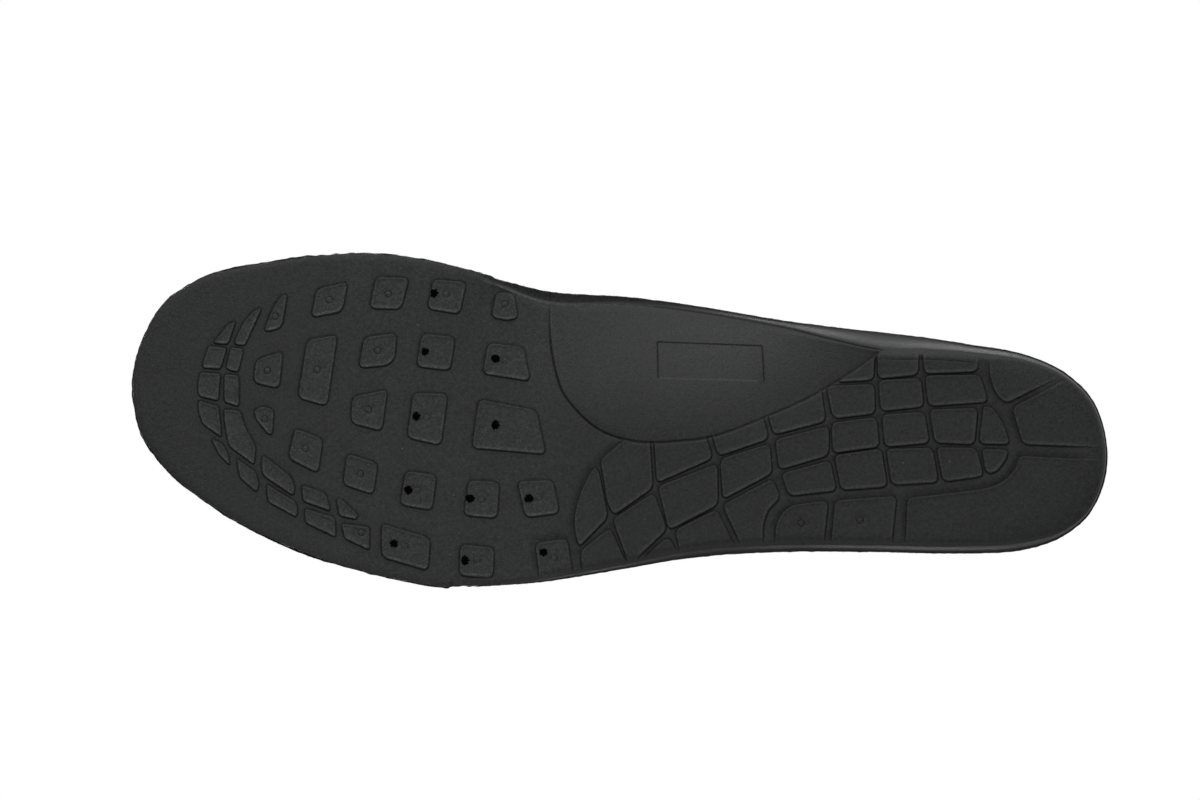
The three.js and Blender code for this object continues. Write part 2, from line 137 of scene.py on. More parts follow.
FOREFOOT_PADS = [
    [(104.4, 22.6), (99, 24.3), (98, 33.9), (99.8, 33.6), (102, 30)],
    [(90.9, 27.7), (81.9, 30), (80.7, 38.8), (89.7, 36.2)],
    [(74.2, 31.4), (65, 31.7), (63.2, 41), (72.9, 40.7)],
    [(57.6, 32.3), (48, 31.3), (46.6, 40.8), (56.3, 41)],
    [(39, 31), (34, 30.4), (31.1, 31.4), (32.8, 38.3), (37.9, 38.6)],
    [(106, 14.7), (98.2, 17.7), (98.7, 6.7), (106.4, 8)],
    [(93.3, 4.4), (91.6, 21.3), (82.8, 23.4), (84.6, 2.5)],
    [(76.3, 14), (75.2, 23.1), (65.8, 24.9), (65.9, 17.5), (68, 15.3)],
    [(59.7, 15.5), (58.6, 25.2), (48.9, 24.8), (49.7, 14.9)],
    [(40.5, 14.6), (39.4, 23.7), (29, 23.1), (26.5, 13.3)],
    [(105.8, 0), (103.3, 1.5), (99.8, 0.6), (99.9, -6.5), (101.2, -6.6), (105, -2.4)],
    [(77.6, 5.7), (67.4, 8.5), (68.4, -3.8), (77.6, -1.9)],
    [(60.1, 8), (50, 8.2), (51.1, -6.8), (61.1, -5.2)],
    [(41.1, 7.3), (24.2, 5.1), (20.7, -7.5), (42.3, -7)],
    [(93.6, -4.3), (85.1, -6.9), (86, -17), (95, -13.2)],
    [(78.1, -10.7), (68.9, -13), (69.7, -22.2), (78.8, -19.8)],
    [(61, -14.7), (51.8, -15.3), (52.5, -25.7), (62, -24.6)],
    [(42.6, -16.2), (33.6, -16.3), (33.6, -26.8), (43.4, -26.6)],
    [(28.6, -15.8), (18.3, -14.6), (15.7, -24.2), (25.6, -26.1)],
    [(67, -30.2), (52.5, -33.6), (52.6, -43.1), (66.3, -40)],
    [(43.9, -34.9), (33.9, -35.2), (33.8, -44.1), (43.7, -43.9)],
    [(22.4, -33.2), (13.1, -31.3), (10.8, -41.5), (20, -46)],
]
MIDFOOT_PADS = [
    [(6.6, -10.3), (5.2, -11.3), (1.6, -24.5), (9.7, -33.8), (11.2, -29), (11.6, -24.5), (10.4, -18.5),
     (8.3, -13)],
    [(5.2, -8.3), (-2.5, -1), (-8.9, -0.5), (-10.8, -15.3), (0.2, -24), (2.5, -20), (4, -12.5)],
    [(-9.9, -0.5), (-24.9, 1.2), (-27.5, -5.7), (-11.6, -14)],
    [(-11.9, -14.7), (-28.9, -7), (-29.8, -19.1), (-15.9, -27.3)],
    [(-29.4, -5.7), (-43.6, -0.3), (-44.9, -9), (-30.9, -17.5)],
    [(-26.4, 1.8), (-41.2, 7.5), (-43.3, 0.8), (-28.9, -5.1)],
    [(-42.2, 8.4), (-57.3, 17), (-59.4, 6.9), (-44.5, 2)],
    [(0.6, -25), (-11, -16.5), (-15.6, -27), (-6.5, -36.7), (-5.6, -39)],
    [(1, -27.3), (9.3, -34.8), (7.9, -42), (-6.3, -41)],
    [(-9.3, -35.3), (-15.9, -28.9), (-20.2, -35), (-11, -38)],
    [(-17.6, -27), (-29.4, -20.2), (-37, -33.5), (-20.8, -37)],
    [(-30.8, -19), (-45, -10.3), (-47.7, -15.9), (-44.3, -19.5), (-43.2, -23.5), (-43.2, -33),
     (-38.8, -33.5)],
    [(-44.9, 0.9), (-60.4, 5.8), (-60.8, -2.9), (-46.6, -8)],
    [(-47.2, -8.8), (-61.3, -4.1), (-63.7, -12.9), (-49.9, -15.3)],
]
HEEL_PADS = [
    [(-61.5, 18.3), (-72.3, 28.5), (-72.4, 19.6)],
    [(-72.6, 31), (-73.4, 20), (-85.2, 21.9), (-84.7, 32)],
    [(-85.6, 32), (-86.7, 22.3), (-102.3, 23.9), (-102, 32)],
    [(-58.6, 17.2), (-72.7, 18.7), (-73.5, 10), (-61.3, 7.7)],
    [(-73.6, 19.8), (-86, 21.2), (-87.4, 12.8), (-74.9, 10.7)],
    [(-86.9, 22), (-103, 23.2), (-105.8, 15.3), (-88.5, 13)],
    [(-60.8, 6.7), (-73.9, 9.2), (-75.3, 0.5), (-61.8, -2.2)],
    [(-75.2, 10), (-87.5, 11.5), (-89.7, 2.5), (-76.7, 0.5)],
    [(-88.8, 12.3), (-102.9, 13.6), (-102.6, 2.8), (-91, 2.6)],
    [(-104.4, 14.3), (-107.3, 13.8), (-110.5, 9.6), (-112.9, 3.5), (-103.7, 3.1)],
    [(-62.2, -2.6), (-75.8, 0.2), (-78.3, -10.9), (-64.8, -12.7)],
    [(-77, 0.2), (-90.6, 1.3), (-92.9, -8.7), (-79.3, -10.3)],
    [(-91.4, 1.5), (-103.2, 2.1), (-105.9, -6.1), (-94.1, -8.5)],
    [(-104.5, 1.9), (-112.4, 2), (-112, -0.8), (-109.6, -4.3), (-107.4, -5.3), (-106, -4.4)],
    [(-46.8, -33), (-46.6, -24), (-48, -20.4), (-50.8, -17.8), (-55, -16.9), (-61.5, -15.8), (-60.7, -33)],
    [(-62.8, -32), (-63.2, -15.6), (-81.1, -13.2), (-80.3, -32)],
    [(-104.8, 34), (-105.6, 23), (-107.2, 18.8), (-109.3, 16.3), (-111.2, 15.4), (-128, 25), (-121.5, 33)],
    [(-131, 25), (-112.6, 14.3), (-116.4, 3.7), (-144, 4.4), (-144, 9), (-140, 20)],
    [(-84.4, -32), (-84, -13.7), (-96.6, -11.4), (-105, -9.9), (-109.2, -8.6), (-112.3, -6.4), (-114.7, -3.4),
     (-115.5, 0.5), (-144, 0.8), (-144, -7), (-141, -16), (-132, -25), (-118, -31), (-100, -33)],
]

VENTS = np.array([
    (55.8, 36.9), (57.4, 20), (36.9, 19.1), (58.7, 1.3), (35.8, 0.2), (59.7, -20.2),
    (41.8, -21.5), (24.9, -20.4), (63, -35.8), (42.2, -39.5), (19.7, -35.7),
])
# Small round marks of the mould's ejector pins, on the pads.
PIN_MARKS = np.array([
    (101.2, 27.5), (85.9, 33.2), (69, 35.9), (52.3, 36.9), (35.3, 35.1), (102.5, 11.7), (88.2, 12.8),
    (71.1, 19.4), (34, 18.8), (102.4, -2.3), (72.7, 2.2), (55.8, 1), (90.1, -10.1),
    (73.9, -16.4), (57.1, -20.1), (38.5, -21.7), (22, -20.1), (72.5, -33.2), (59.8, -36.4), (38.8, -39.2),
    (16.5, -37.2), (-54, -22.8), (-70.9, -21),
])
# The curved step round the arch panel, toe end to heel end, closed far outside the medial edge.
PANEL_STEP = np.array([
    (22.4, 40), (22.4, 35.3), (22.2, 31.6), (21.7, 25.7), (20.1, 18.3), (17.4, 11), (13.2, 5.9), (6.8, 0.8),
    (0, -1.7), (-7.8, -2.5), (-17.4, -1.5), (-24, -0.4), (-31.8, 2.2), (-42, 7), (-50, 11), (-56.2, 14.6),
    (-65.6, 21.2), (-72.5, 26.8), (-78, 31.5),
], float)
PANEL_OUTSIDE = np.array([(-78, 60), (22.4, 60)], float)
LABEL = [(-9.3, 27), (-39.7, 27.7), (-40.9, 17.4), (-10.2, 16.4)]

ARCH_RISE, ARCH_CENTRE_X, ARCH_REACH, ARCH_START_Y, ARCH_END_Y = 13.0, -10.0, 62.0, -2.0, 38.5
TOE_SPRING, TOE_SPRING_X = 3.5, 95.0
FOREFOOT_FOAM, HEEL_FOAM, CUP_WIDTH = 4.4, 6.2, 20.0
THICKENING_X = (20, -60)
LEAST_FLANGE, LEAST_WALL = 0.1, 0.2

# Gaps between the layers on the foam, above its upper face.
FILM_GAP, CLOTH_GAP = 0.02, 0.04


# ---- sizes and colours a user would change ----

LENGTH = {"unit": "LENGTH", "subtype": "DISTANCE"}
COLOUR = {"size": 3, "min": 0.0, "max": 1.0, "subtype": "COLOR"}


class InsoleReliefSettings(bpy.types.PropertyGroup):
    """Sizes of the moulded underside."""

    pad_height: bpy.props.FloatProperty(
        name="Pad height", description="How far the pads stand out of the groove floor",
        default=0.0007, min=0.0003, max=0.002, **LENGTH)
    corner_radius: bpy.props.FloatProperty(
        name="Pad corner radius", description="Largest rounding of a pad's corners in plan",
        default=0.0016, min=0.0002, max=0.003, **LENGTH)
    panel_depth: bpy.props.FloatProperty(
        name="Arch panel depth", description="How far the arch panel lies above the groove floor",
        default=0.0005, min=0.0, max=0.002, **LENGTH)
    label_depth: bpy.props.FloatProperty(
        name="Label field depth", description="Depth of the blank label field in the arch panel",
        default=0.00025, min=0.0, max=0.001, **LENGTH)
    vent_radius: bpy.props.FloatProperty(
        name="Vent radius", description="Mean radius of the punched vent holes",
        default=0.0012, min=0.0005, max=0.002, **LENGTH)
    foam_colour: bpy.props.FloatVectorProperty(
        name="Foam colour", description="Base colour of the moulded foam",
        default=(0.0245, 0.0255, 0.0254), **COLOUR)


class InsoleCoverSettings(bpy.types.PropertyGroup):
    """Sizes and colours of the layers on top of the foam."""

    film_thickness: bpy.props.FloatProperty(
        name="Film thickness", description="Thickness of the bonding film",
        default=0.00025, min=0.0001, max=0.0005, **LENGTH)
    cloth_thickness: bpy.props.FloatProperty(
        name="Cloth thickness", description="Thickness of the knit cover",
        default=0.0009, min=0.0004, max=0.002, **LENGTH)
    fibre_count: bpy.props.IntProperty(
        name="Loose fibres", description="Number of fibres standing out of the cloth's cut edge",
        default=900, min=1, max=3000)
    film_colour: bpy.props.FloatVectorProperty(
        name="Film colour", description="Colour of the bonding film",
        default=(0.10, 0.095, 0.08), **COLOUR)
    cloth_colour: bpy.props.FloatVectorProperty(
        name="Cloth colour", description="Base colour of the knit yarn",
        default=(0.012, 0.0125, 0.0135), **COLOUR)


class InsoleStageSettings(bpy.types.PropertyGroup):
    """Light, floor and camera."""

    camera_distance: bpy.props.FloatProperty(
        name="Camera distance", description="From the camera to the sole",
        default=5.0, min=0.5, max=10.0, **LENGTH)
    frame_width: bpy.props.FloatProperty(
        name="Width in view", description="What the picture's width shows at the sole",
        default=0.3468, min=0.2, max=1.0, **LENGTH)
    roll: bpy.props.FloatProperty(
        name="Roll", description="How far the insole's long axis is turned in the picture",
        default=math.radians(3.5), unit="ROTATION", subtype="ANGLE")
    floor_colour: bpy.props.FloatVectorProperty(
        name="Floor colour", description="Colour of the pale floor",
        default=(0.82, 0.82, 0.82), **COLOUR)


# ---- curves in plan ----

BATCH = 8000
TINY = 1e-12


def catmull_rom(points, at, centripetal):
    """Points of a closed Catmull-Rom curve through `points`, at parameters `at` counted in control points.

    Each span is the Hermite cubic x1 + a t + (-3 x1 + 3 x2 - 2 a - b) t^2 + (2 x1 - 2 x2 + a + b) t^3, with
    end slopes a and b from the neighbours, spaced by the root of their distance where centripetal.
    """
    count = len(points)
    index = np.floor(at).astype(int)
    t = (at - index)[:, None]
    p0, p1, p2, p3 = (points[(index + k) % count] for k in (-1, 0, 1, 2))
    if centripetal:
        step = [np.sqrt(np.linalg.norm(b - a, axis=1))[:, None] for a, b in ((p0, p1), (p1, p2), (p2, p3))]
        slope1 = ((p1 - p0) / step[0] - (p2 - p0) / (step[0] + step[1]) + (p2 - p1) / step[1]) * step[1]
        slope2 = ((p2 - p1) / step[1] - (p3 - p1) / (step[1] + step[2]) + (p3 - p2) / step[2]) * step[1]
    else:
        slope1, slope2 = (p2 - p0) / 2, (p3 - p1) / 2
    c2 = -3 * p1 + 3 * p2 - 2 * slope1 - slope2
    c3 = 2 * p1 - 2 * p2 + slope1 + slope2
    return p1 + slope1 * t + c2 * t**2 + c3 * t**3


def rim_samples(spacing):
    """The rim at even arc length: columns x, y, rim top, edge, flange, wall."""
    at = np.linspace(0, len(RIM), len(RIM) * 60, endpoint=False)
    table = np.hstack([catmull_rom(RIM[:, :3], at, True), catmull_rom(RIM[:, 3:], at, False)])
    loop = np.vstack([table, table[:1]])
    length = np.concatenate([[0], np.cumsum(np.linalg.norm(np.diff(loop[:, :2], axis=0), axis=1))])
    even = np.linspace(0, length[-1], 2 * int(length[-1] / spacing / 2), endpoint=False)
    out = np.stack([np.interp(even, length, loop[:, k]) for k in range(6)], axis=1)
    out[:, 4:] = np.maximum(out[:, 4:], (LEAST_FLANGE, LEAST_WALL))
    return out


def inward_normals(loop):
    """Unit normals of a counterclockwise closed line, pointing inward: the tangent turned a quarter left."""
    tangent = np.roll(loop, -1, axis=0) - np.roll(loop, 1, axis=0)
    tangent /= np.linalg.norm(tangent, axis=1)[:, None]
    return np.stack([-tangent[:, 1], tangent[:, 0]], axis=1)


def shoelace(points):
    """Area inside a closed line, positive where it runs counterclockwise: half the sum of x1 y2 - x2 y1."""
    x, y = points[:, 0], points[:, 1]
    return float(np.sum(x * np.roll(y, -1) - np.roll(x, -1) * y)) / 2


def counterclockwise(points):
    """The same corners, turned so that the area inside is positive."""
    p = np.asarray(points, float)
    return p if shoelace(p) > 0 else p[::-1]


def rounded_outline(corners, radius, steps=6):
    """Each corner replaced by a quadratic curve that starts 1.25 radii away, at most 42% along a side."""
    p = counterclockwise(corners)
    before, after = np.roll(p, 1, axis=0), np.roll(p, -1, axis=0)
    lengths = [np.linalg.norm(q - p, axis=1) for q in (before, after)]
    cut = np.minimum(radius * 1.25, 0.42 * np.minimum(*lengths))
    start = p + (before - p) * (cut / lengths[0])[:, None]
    end = p + (after - p) * (cut / lengths[1])[:, None]
    t = np.linspace(0, 1, steps)[None, :, None]
    arc = start[:, None] * (1 - t) ** 2 + 2 * p[:, None] * t * (1 - t) + end[:, None] * t**2
    return arc.reshape(-1, 2)


def densified(loop, spacing):
    """A closed line with points added so that no side is longer than `spacing`."""
    after = np.roll(loop, -1, axis=0)
    pieces = np.maximum(1, np.ceil(np.linalg.norm(after - loop, axis=1) / spacing)).astype(int)
    start = np.repeat(np.arange(len(loop)), pieces)
    step = np.arange(len(start)) - np.repeat(np.cumsum(pieces) - pieces, pieces)
    t = (step / pieces[start])[:, None]
    return loop[start] * (1 - t) + after[start] * t


def in_batches(work, points):
    """`work` done on a few thousand points at a time, to save memory."""
    return np.concatenate([work(points[low:low + BATCH]) for low in range(0, len(points), BATCH)])


def signed_distance(points, loop):
    """Distance from each point to a closed counterclockwise line, negative inside it.

    The distance is the least over the sides; a point is inside where a ray to +X crosses the line an odd
    number of times.
    """
    a, b = loop, np.roll(loop, -1, axis=0)
    side = b - a
    square = np.maximum(np.sum(side**2, axis=1), TINY)
    height = np.where(np.abs(side[:, 1]) < TINY, TINY, side[:, 1])

    def measured(p):
        wx, wy = p[:, :1] - a[:, 0], p[:, 1:] - a[:, 1]
        t = np.clip((wx * side[:, 0] + wy * side[:, 1]) / square, 0, 1)
        gap = np.sqrt(((wx - t * side[:, 0]) ** 2 + (wy - t * side[:, 1]) ** 2).min(axis=1))
        crosses = (a[:, 1] > p[:, 1:]) != (b[:, 1] > p[:, 1:])
        ahead = wx < wy * (side[:, 0] / height)
        inside = np.sum(crosses & ahead, axis=1) % 2 == 1
        return np.where(inside, -gap, gap)

    return in_batches(measured, points)


def unit_circle(count):
    """`count` points round a circle of radius 1, counterclockwise from +X."""
    angle = np.linspace(0, 2 * math.pi, count, endpoint=False)
    return np.stack([np.cos(angle), np.sin(angle)], axis=1)


def smooth(t):
    """3 t^2 - 2 t^3, with t held between 0 and 1."""
    t = np.clip(t, 0, 1)
    return t * t * (3 - 2 * t)


def ramp(value, ends):
    """Smooth rise from 0 at the first end to 1 at the second, which may be the lower one."""
    start, end = ends
    return smooth((value - start) / (end - start))


def stretch(value, limits):
    """Smooth rise from 0 to 1 between the first two limits, and fall back to 0 between the last two."""
    start, whole, still_whole, end = limits
    return ramp(value, (start, whole)) * ramp(value, (end, still_whole))


def bell(value, centre, width):
    """e^(-((value - centre) / width)^2)."""
    return np.exp(-(((value - centre) / width) ** 2))


def ripple(count, rng, width):
    """Closed smooth noise of unit spread: white noise blurred by a Gaussian `width` samples wide."""
    frequency = np.fft.rfftfreq(count)
    spectrum = np.fft.rfft(rng.standard_normal(count)) * np.exp(-2 * (math.pi * frequency * width) ** 2)
    soft = np.fft.irfft(spectrum, count)
    return soft / soft.std()


# ---- the mean surfaces ----

RIM_SPACING = 0.5
RIM_LINE = rim_samples(RIM_SPACING)
RIM_NORMAL = inward_normals(RIM_LINE[:, :2])
PLAN_SHIFT = (CAD_LOW + CAD_HIGH)[:2] / 2 / MM - (RIM_LINE[:, :2].min(0) + RIM_LINE[:, :2].max(0)) / 2


def rim_field(xy):
    """For each point of the plan: its distance inside the rim, and the rim table's row nearest to it."""
    line = RIM_LINE[:, :2]
    nearest = in_batches(lambda p: ((line**2).sum(1)[None] - 2 * p @ line.T).argmin(axis=1), xy)
    normal = RIM_NORMAL[nearest]
    offset = xy - line[nearest]
    along = offset[:, 0] * normal[:, 1] - offset[:, 1] * normal[:, 0]
    distance = np.sum(offset * normal, axis=1)
    share = np.clip(np.abs(along) / RIM_SPACING, 0, 1)[:, None]
    other = (nearest + np.where(along > 0, 1, -1)) % len(line)
    return distance, RIM_LINE[nearest] * (1 - share) + RIM_LINE[other] * share


def die_cut(edge):
    """1 where the edge is cut square through the full foam, 0 where a moulded wall stands."""
    return smooth((edge - 1.5) / 1.6)


def lift(x, y):
    """Rise of the sole off the ground: (1 - u^2)^2 v^2 along and across the arch, and a square toe spring."""
    u = (x - ARCH_CENTRE_X) / ARCH_REACH
    along = np.clip(1 - u**2, 0, 1) ** 2
    across = np.clip((y - ARCH_START_Y) / (ARCH_END_Y - ARCH_START_Y), 0, 1) ** 2
    toe = np.maximum(0, (x - TOE_SPRING_X) / (RIM[0, 0] - TOE_SPRING_X)) ** 2
    return ARCH_RISE * along * across + TOE_SPRING * toe


def foam_floor(x, y):
    """Height of the foam's seat: the lift plus the foam's thickness, which grows towards the heel."""
    return lift(x, y) + FOREFOOT_FOAM + (HEEL_FOAM - FOREFOOT_FOAM) * ramp(x, THICKENING_X)


def foam_top(xy):
    """Height of the foam's upper face: the seat plus a cup (1 - d / width)^4 that climbs to the rim."""
    distance, rim = rim_field(xy)
    to_rim = rim[:, 2] - foam_floor(rim[:, 0], rim[:, 1])
    cup = np.clip(1 - np.maximum(distance, 0) / CUP_WIDTH, 0, 1) ** 4
    return foam_floor(xy[:, 0], xy[:, 1]) + to_rim * cup


# ---- the moulded relief ----

# Share of the pad height at a signed distance from its outline: sunk middle, proud lip, steep side, crease.
PAD_EDGE_AT = np.array([-2.3, -1.35, -0.90, -0.50, -0.30, -0.14, -0.04, 0.06, 0.16, 0.40])
PAD_EDGE_SHARE = np.array([0.77, 0.77, 0.79, 1.0, 0.99, 0.88, 0.45, -0.06, -0.16, 0.0])
# Share of the panel's and the label field's depth at a signed distance from their outlines.
STEP_AT = np.array([-0.30, -0.10, 0.10])
STEP_SHARE = np.array([1.0, 0.55, 0.0])
# Distances from the outlines at which the plan mesh has lines of its own.
PANEL_LINES = (-0.75, -0.5, -0.34, -0.2, -0.08, 0.06, 0.2, 0.4, 0.6)
LABEL_LINES = (-1.6, -0.8, -0.45, -0.30, -0.10, 0.10, 0.25, 0.6, 1.3)
PIN_LINES = (0.7, 0.83, 0.95, 1.07, 1.2)
WALL_LINES = (0.06, 0.2, 0.4, 0.6, 0.8, 0.94)
ROUNDING_LINES = (0.15, 0.35, 0.55, 0.8, 1.2, 1.8, 2.5, 2.65, 2.8, 2.95, 3.1, 3.8, 4.6)
PAD_SURROUND, SURROUND_FROM_X = 0.85, 12
PAD_REACH, FAR = 1.2, 9.0
TOE_CORNER_SHARE, LABEL_CORNER = 0.55, 0.3

# How wide the grooves' run-out to the rim is: everywhere, more at the heel's arch side, more round the heel.
RUN_OUT, HEEL_SIDE_RUN_OUT, HEEL_RUN_OUT = 1.2, 2.3, 9.0
# The heel's underside curls up by this much toward its rim.
SAG_DEPTH, SAG_WIDTH = 0.9, 7
# Height of the shoulder at a moulded wall's foot and width of its rounding, and what the arch adds to each.
SHOULDER, ROUNDING = 1.3, 3.0
ARCH_SHOULDER, ARCH_ROUNDING = 1.3, 3.5
# How far a die-cut edge turns up.
TURN_UP, TURN_WIDTH = 0.35, 2.5
# Depth of each crease, and how far the arch edge's bead stands proud.
STEP_CREASE, ARCH_CREASE, BEAD, FOLD, PIN_RING = 0.5, 0.4, 0.55, 0.12, 0.15
PIN_RADIUS, PIN_LINE = 0.95, 0.12
FLANGE_CREASES_X = (22.3, 12.7)
LABEL_MIDDLE_X, LABEL_ENDS_PAST = -25.1, 14.4
# Where the die cut ends, on the arch side and on the outer side.
KNIFE_START_X = (38.5, 45.6)
RIM_PROBE = 0.3

# Where along X an effect fades in: nothing at the first value, all of it at the second.
HEEL_SIDE_X, HEEL_X, SAG_X = (-66, -74), (-92, -122), (-95, -115)
FOREFOOT_X, TOE_X = (5, 15), (72, 94)
# Where along X an effect starts, is whole, is still whole, and has ended.
ARCH_EDGE_X, WAIST_X, FOLD_X = (-77, -72, 10, 30), (-12, 2, 36, 44), (-103, -99, -76, -74)
ARCH_WALL_X, BALL_X, MIDFOOT_X = (-56, -46, -4, 8), (8, 24, 75, 95), (-74, -58, -2, 10)


def panel_outline():
    """The arch panel: a Catmull-Rom line through the step's stations, closed outside the medial edge."""
    stations = np.vstack([2 * PANEL_STEP[0] - PANEL_STEP[1], PANEL_STEP, 2 * PANEL_STEP[-1] - PANEL_STEP[-2]])
    fine = catmull_rom(stations, np.linspace(1, len(PANEL_STEP) - 1e-9, 110), True)
    return counterclockwise(np.vstack([fine, PANEL_OUTSIDE]))


def pin_mark_share(xy):
    """1 on the fine ring round each pin mark, falling off as a Gaussian."""
    gaps = [np.abs(np.hypot(*(xy - centre).T) - PIN_RADIUS) for centre in PIN_MARKS]
    return bell(np.min(gaps, axis=0), 0, PIN_LINE)


def vent_gap(xy):
    """Distance to the nearest vent's centre."""
    return np.min([np.hypot(*(xy - centre).T) for centre in VENTS], axis=0)


class Relief:
    """Outlines and depths of the pads, the arch panel and the label field."""

    def __init__(self, sizes):
        self.pad_height = sizes.pad_height / MM
        self.panel_level = (sizes.pad_height + sizes.panel_depth) / MM
        self.label_depth = sizes.label_depth / MM
        radius = sizes.corner_radius / MM
        self.pads = [rounded_outline(pad, radius * TOE_CORNER_SHARE) for pad in TOE_PADS]
        self.pads += [rounded_outline(pad, radius) for pad in FOREFOOT_PADS + MIDFOOT_PADS + HEEL_PADS]
        self.panel = panel_outline()
        self.label = rounded_outline(LABEL, LABEL_CORNER, 4)

    def pad_share(self, xy):
        """Share of the pad height, and the signed distance to the nearest pad outline where one is near."""
        share, near = np.zeros(len(xy)), np.full(len(xy), FAR)
        for pad in self.pads:
            low, high = pad.min(0) - PAD_REACH, pad.max(0) + PAD_REACH
            box = np.flatnonzero(np.all((xy > low) & (xy < high), axis=1))
            if len(box):
                gap = signed_distance(xy[box], pad)
                closer = gap < near[box]
                share[box] = np.where(closer, np.interp(gap, PAD_EDGE_AT, PAD_EDGE_SHARE), share[box])
                near[box] = np.minimum(near[box], gap)
        return share, near

    def lines(self):
        """Lines for the plan mesh to follow, so that every edge of the relief is crisp."""
        pads = [densified(pad, 1.6) for pad in self.pads]
        groups = [(pad, PAD_EDGE_AT) for pad in pads]
        groups += [(pad, (PAD_SURROUND,)) for pad in pads if pad[:, 0].min() > SURROUND_FROM_X]
        groups.append((densified(self.panel, 1.2), PANEL_LINES))
        groups.append((densified(self.label, 2.0), LABEL_LINES))
        return [fine - inward_normals(fine) * gap for fine, gaps in groups for gap in gaps]


class Underside:
    """The underside at the points of its plan: its heights, and masks for its painted highlights and its
    painted shade.
    """

    def __init__(self, relief, xy):
        x, y = xy.T
        self.relief, self.xy, self.x, self.y, self.medial = relief, xy, x, y, y > 0
        distance, self.rim = rim_field(xy)
        self.cut = die_cut(self.rim[:, 3])
        self.inside = distance - self.rim[:, 4] - self.rim[:, 5]
        self.rise = self.edge_rise(distance)
        share, self.near = relief.pad_share(xy)
        wide = RUN_OUT + HEEL_SIDE_RUN_OUT * (ramp(x, HEEL_SIDE_X) * self.medial)
        wide = wide + HEEL_RUN_OUT * ramp(x, HEEL_X)
        self.runs_out = smooth((self.inside + 0.2) / wide)
        self.floor = relief.pad_height * (1 - share) * (self.runs_out * (1 - self.cut) + self.cut)
        self.panel_gap = signed_distance(xy, relief.panel)
        self.label_gap = signed_distance(xy, relief.label)
        self.off_edge = ramp(self.inside, (-0.2, 1.8))
        self.panel = np.interp(self.panel_gap, STEP_AT, STEP_SHARE) * self.off_edge
        self.waist = stretch(x, WAIST_X) * self.medial
        self.from_vent = vent_gap(xy)

    def edge_rise(self, distance):
        """Rise above the lift that the walls and the rounding of the edge give.

        A moulded edge stands level over the flange, falls along the wall to a shoulder and rounds to nothing
        as (1 - r)^2.2; a die-cut edge only turns up a little, as a square, over its last millimetres.
        """
        arch = np.clip(1 - ((self.x + 15) / 60) ** 2, 0, 1) * self.medial
        top, edge, flange, wall = self.rim[:, 2:].T
        high = top - edge - lift(self.x, self.y)
        shoulder = np.minimum(SHOULDER + ARCH_SHOULDER * arch, high)
        walled = high + (shoulder - high) * smooth((distance - flange) / wall) ** 0.9
        r = np.clip(self.inside / (ROUNDING + ARCH_ROUNDING * arch), 0, 1)
        moulded = np.where(self.inside < 0, walled, shoulder * (1 - r) ** 2.2)
        turned = self.relief.pad_height + TURN_UP * np.clip(1 - distance / TURN_WIDTH, 0, 1) ** 2
        return moulded * (1 - self.cut) + turned * self.cut * (1 - ramp(distance, (2.4, 3.2)))

    def creases(self):
        """Strengths of the panel's step, the arch's edge, its bead, the heel's fold and the pin rings."""
        taper = 0.35 + 0.2 * ramp(self.x, (-70, -60)) + 0.45 * ramp(self.x, (-45, -20))
        taper = taper * (0.55 + 0.45 * ramp(self.y, (34, 26)))
        step = bell(self.panel_gap, -0.10, 0.28) * self.off_edge * taper
        arch = bell(self.inside, 0.35, 0.24) * stretch(self.x, ARCH_EDGE_X) * self.medial * (1 - self.cut)
        bead = bell(self.inside, 0.50, 0.34) * self.waist
        fold = bell(self.inside, 2.8, 0.16) * self.medial * stretch(self.x, FOLD_X)
        pins = pin_mark_share(self.xy) * (self.rise < 0.9) * (0.6 + 0.4 * ramp(self.from_vent, (3.6, 4.8)))
        return step, arch, bead, fold, pins

    def heights(self):
        """z = lift + max(edge rise, groove depth x (1 - pad share) + sag), at least the panel's level inside
        the arch panel, with the creases cut in and the bead left proud.
        """
        sag = np.clip(1 - self.inside / SAG_WIDTH, 0, 1) ** 2 * ramp(self.x, SAG_X)
        z = np.maximum(self.rise, self.floor + SAG_DEPTH * sag)
        label = np.interp(self.label_gap, STEP_AT, STEP_SHARE)
        level = self.relief.panel_level + label * self.relief.label_depth
        z = z + self.panel * np.maximum(level - z, 0)
        step, arch, bead, fold, pins = self.creases()
        z = z + STEP_CREASE * step + ARCH_CREASE * arch * (1 - self.waist) - BEAD * bead + FOLD * fold
        return lift(self.x, self.y) + (z + PIN_RING * pins)

    def label_edge(self):
        """A thin line along the label field's step, which takes painted shade, its two ends, and its low
        side, where the line is a painted highlight instead.
        """
        ends = smooth((np.abs(self.x - LABEL_MIDDLE_X) - LABEL_ENDS_PAST) / 0.6)
        low = (1 - ends) * ramp(self.y, (18.5, 17.7))
        return bell(self.label_gap, -0.05, 0.18 + 0.07 * ends), ends, low

    def painted_highlight(self):
        """Mask of painted highlight and paler skin.

        Painted highlights lie on the pads' rims, most where they face the outer side, on the bead along the
        arch's edge and on the low side of the label field; the ball and its pads' faces, more towards the
        toe, are made paler.
        """
        near, bead = self.near, self.creases()[2]
        # Painted highlight on the pads' rims, strongest where a rim faces the outer side.
        facing = (self.relief.pad_share(self.xy + (0, RIM_PROBE))[1] - near) / RIM_PROBE
        flat = self.rise < 0.3 * self.relief.pad_height
        forefoot = ramp(self.x, FOREFOOT_X)
        rims = bell(near, -0.45, 0.30) * flat * (near < 0) * (1.1 - 0.9 * facing) * (0.8 + 0.9 * forefoot)
        on_pad = near < -0.1
        face = (0.45 + 0.30 * ramp(self.x, TOE_X)) * forefoot * on_pad
        ball_paler = 0.3 * stretch(self.x, BALL_X)
        line, _, low = self.label_edge()
        return np.max([rims, 2.4 * bead, face + ball_paler * on_pad, ball_paler, 0.9 * line * low], axis=0)

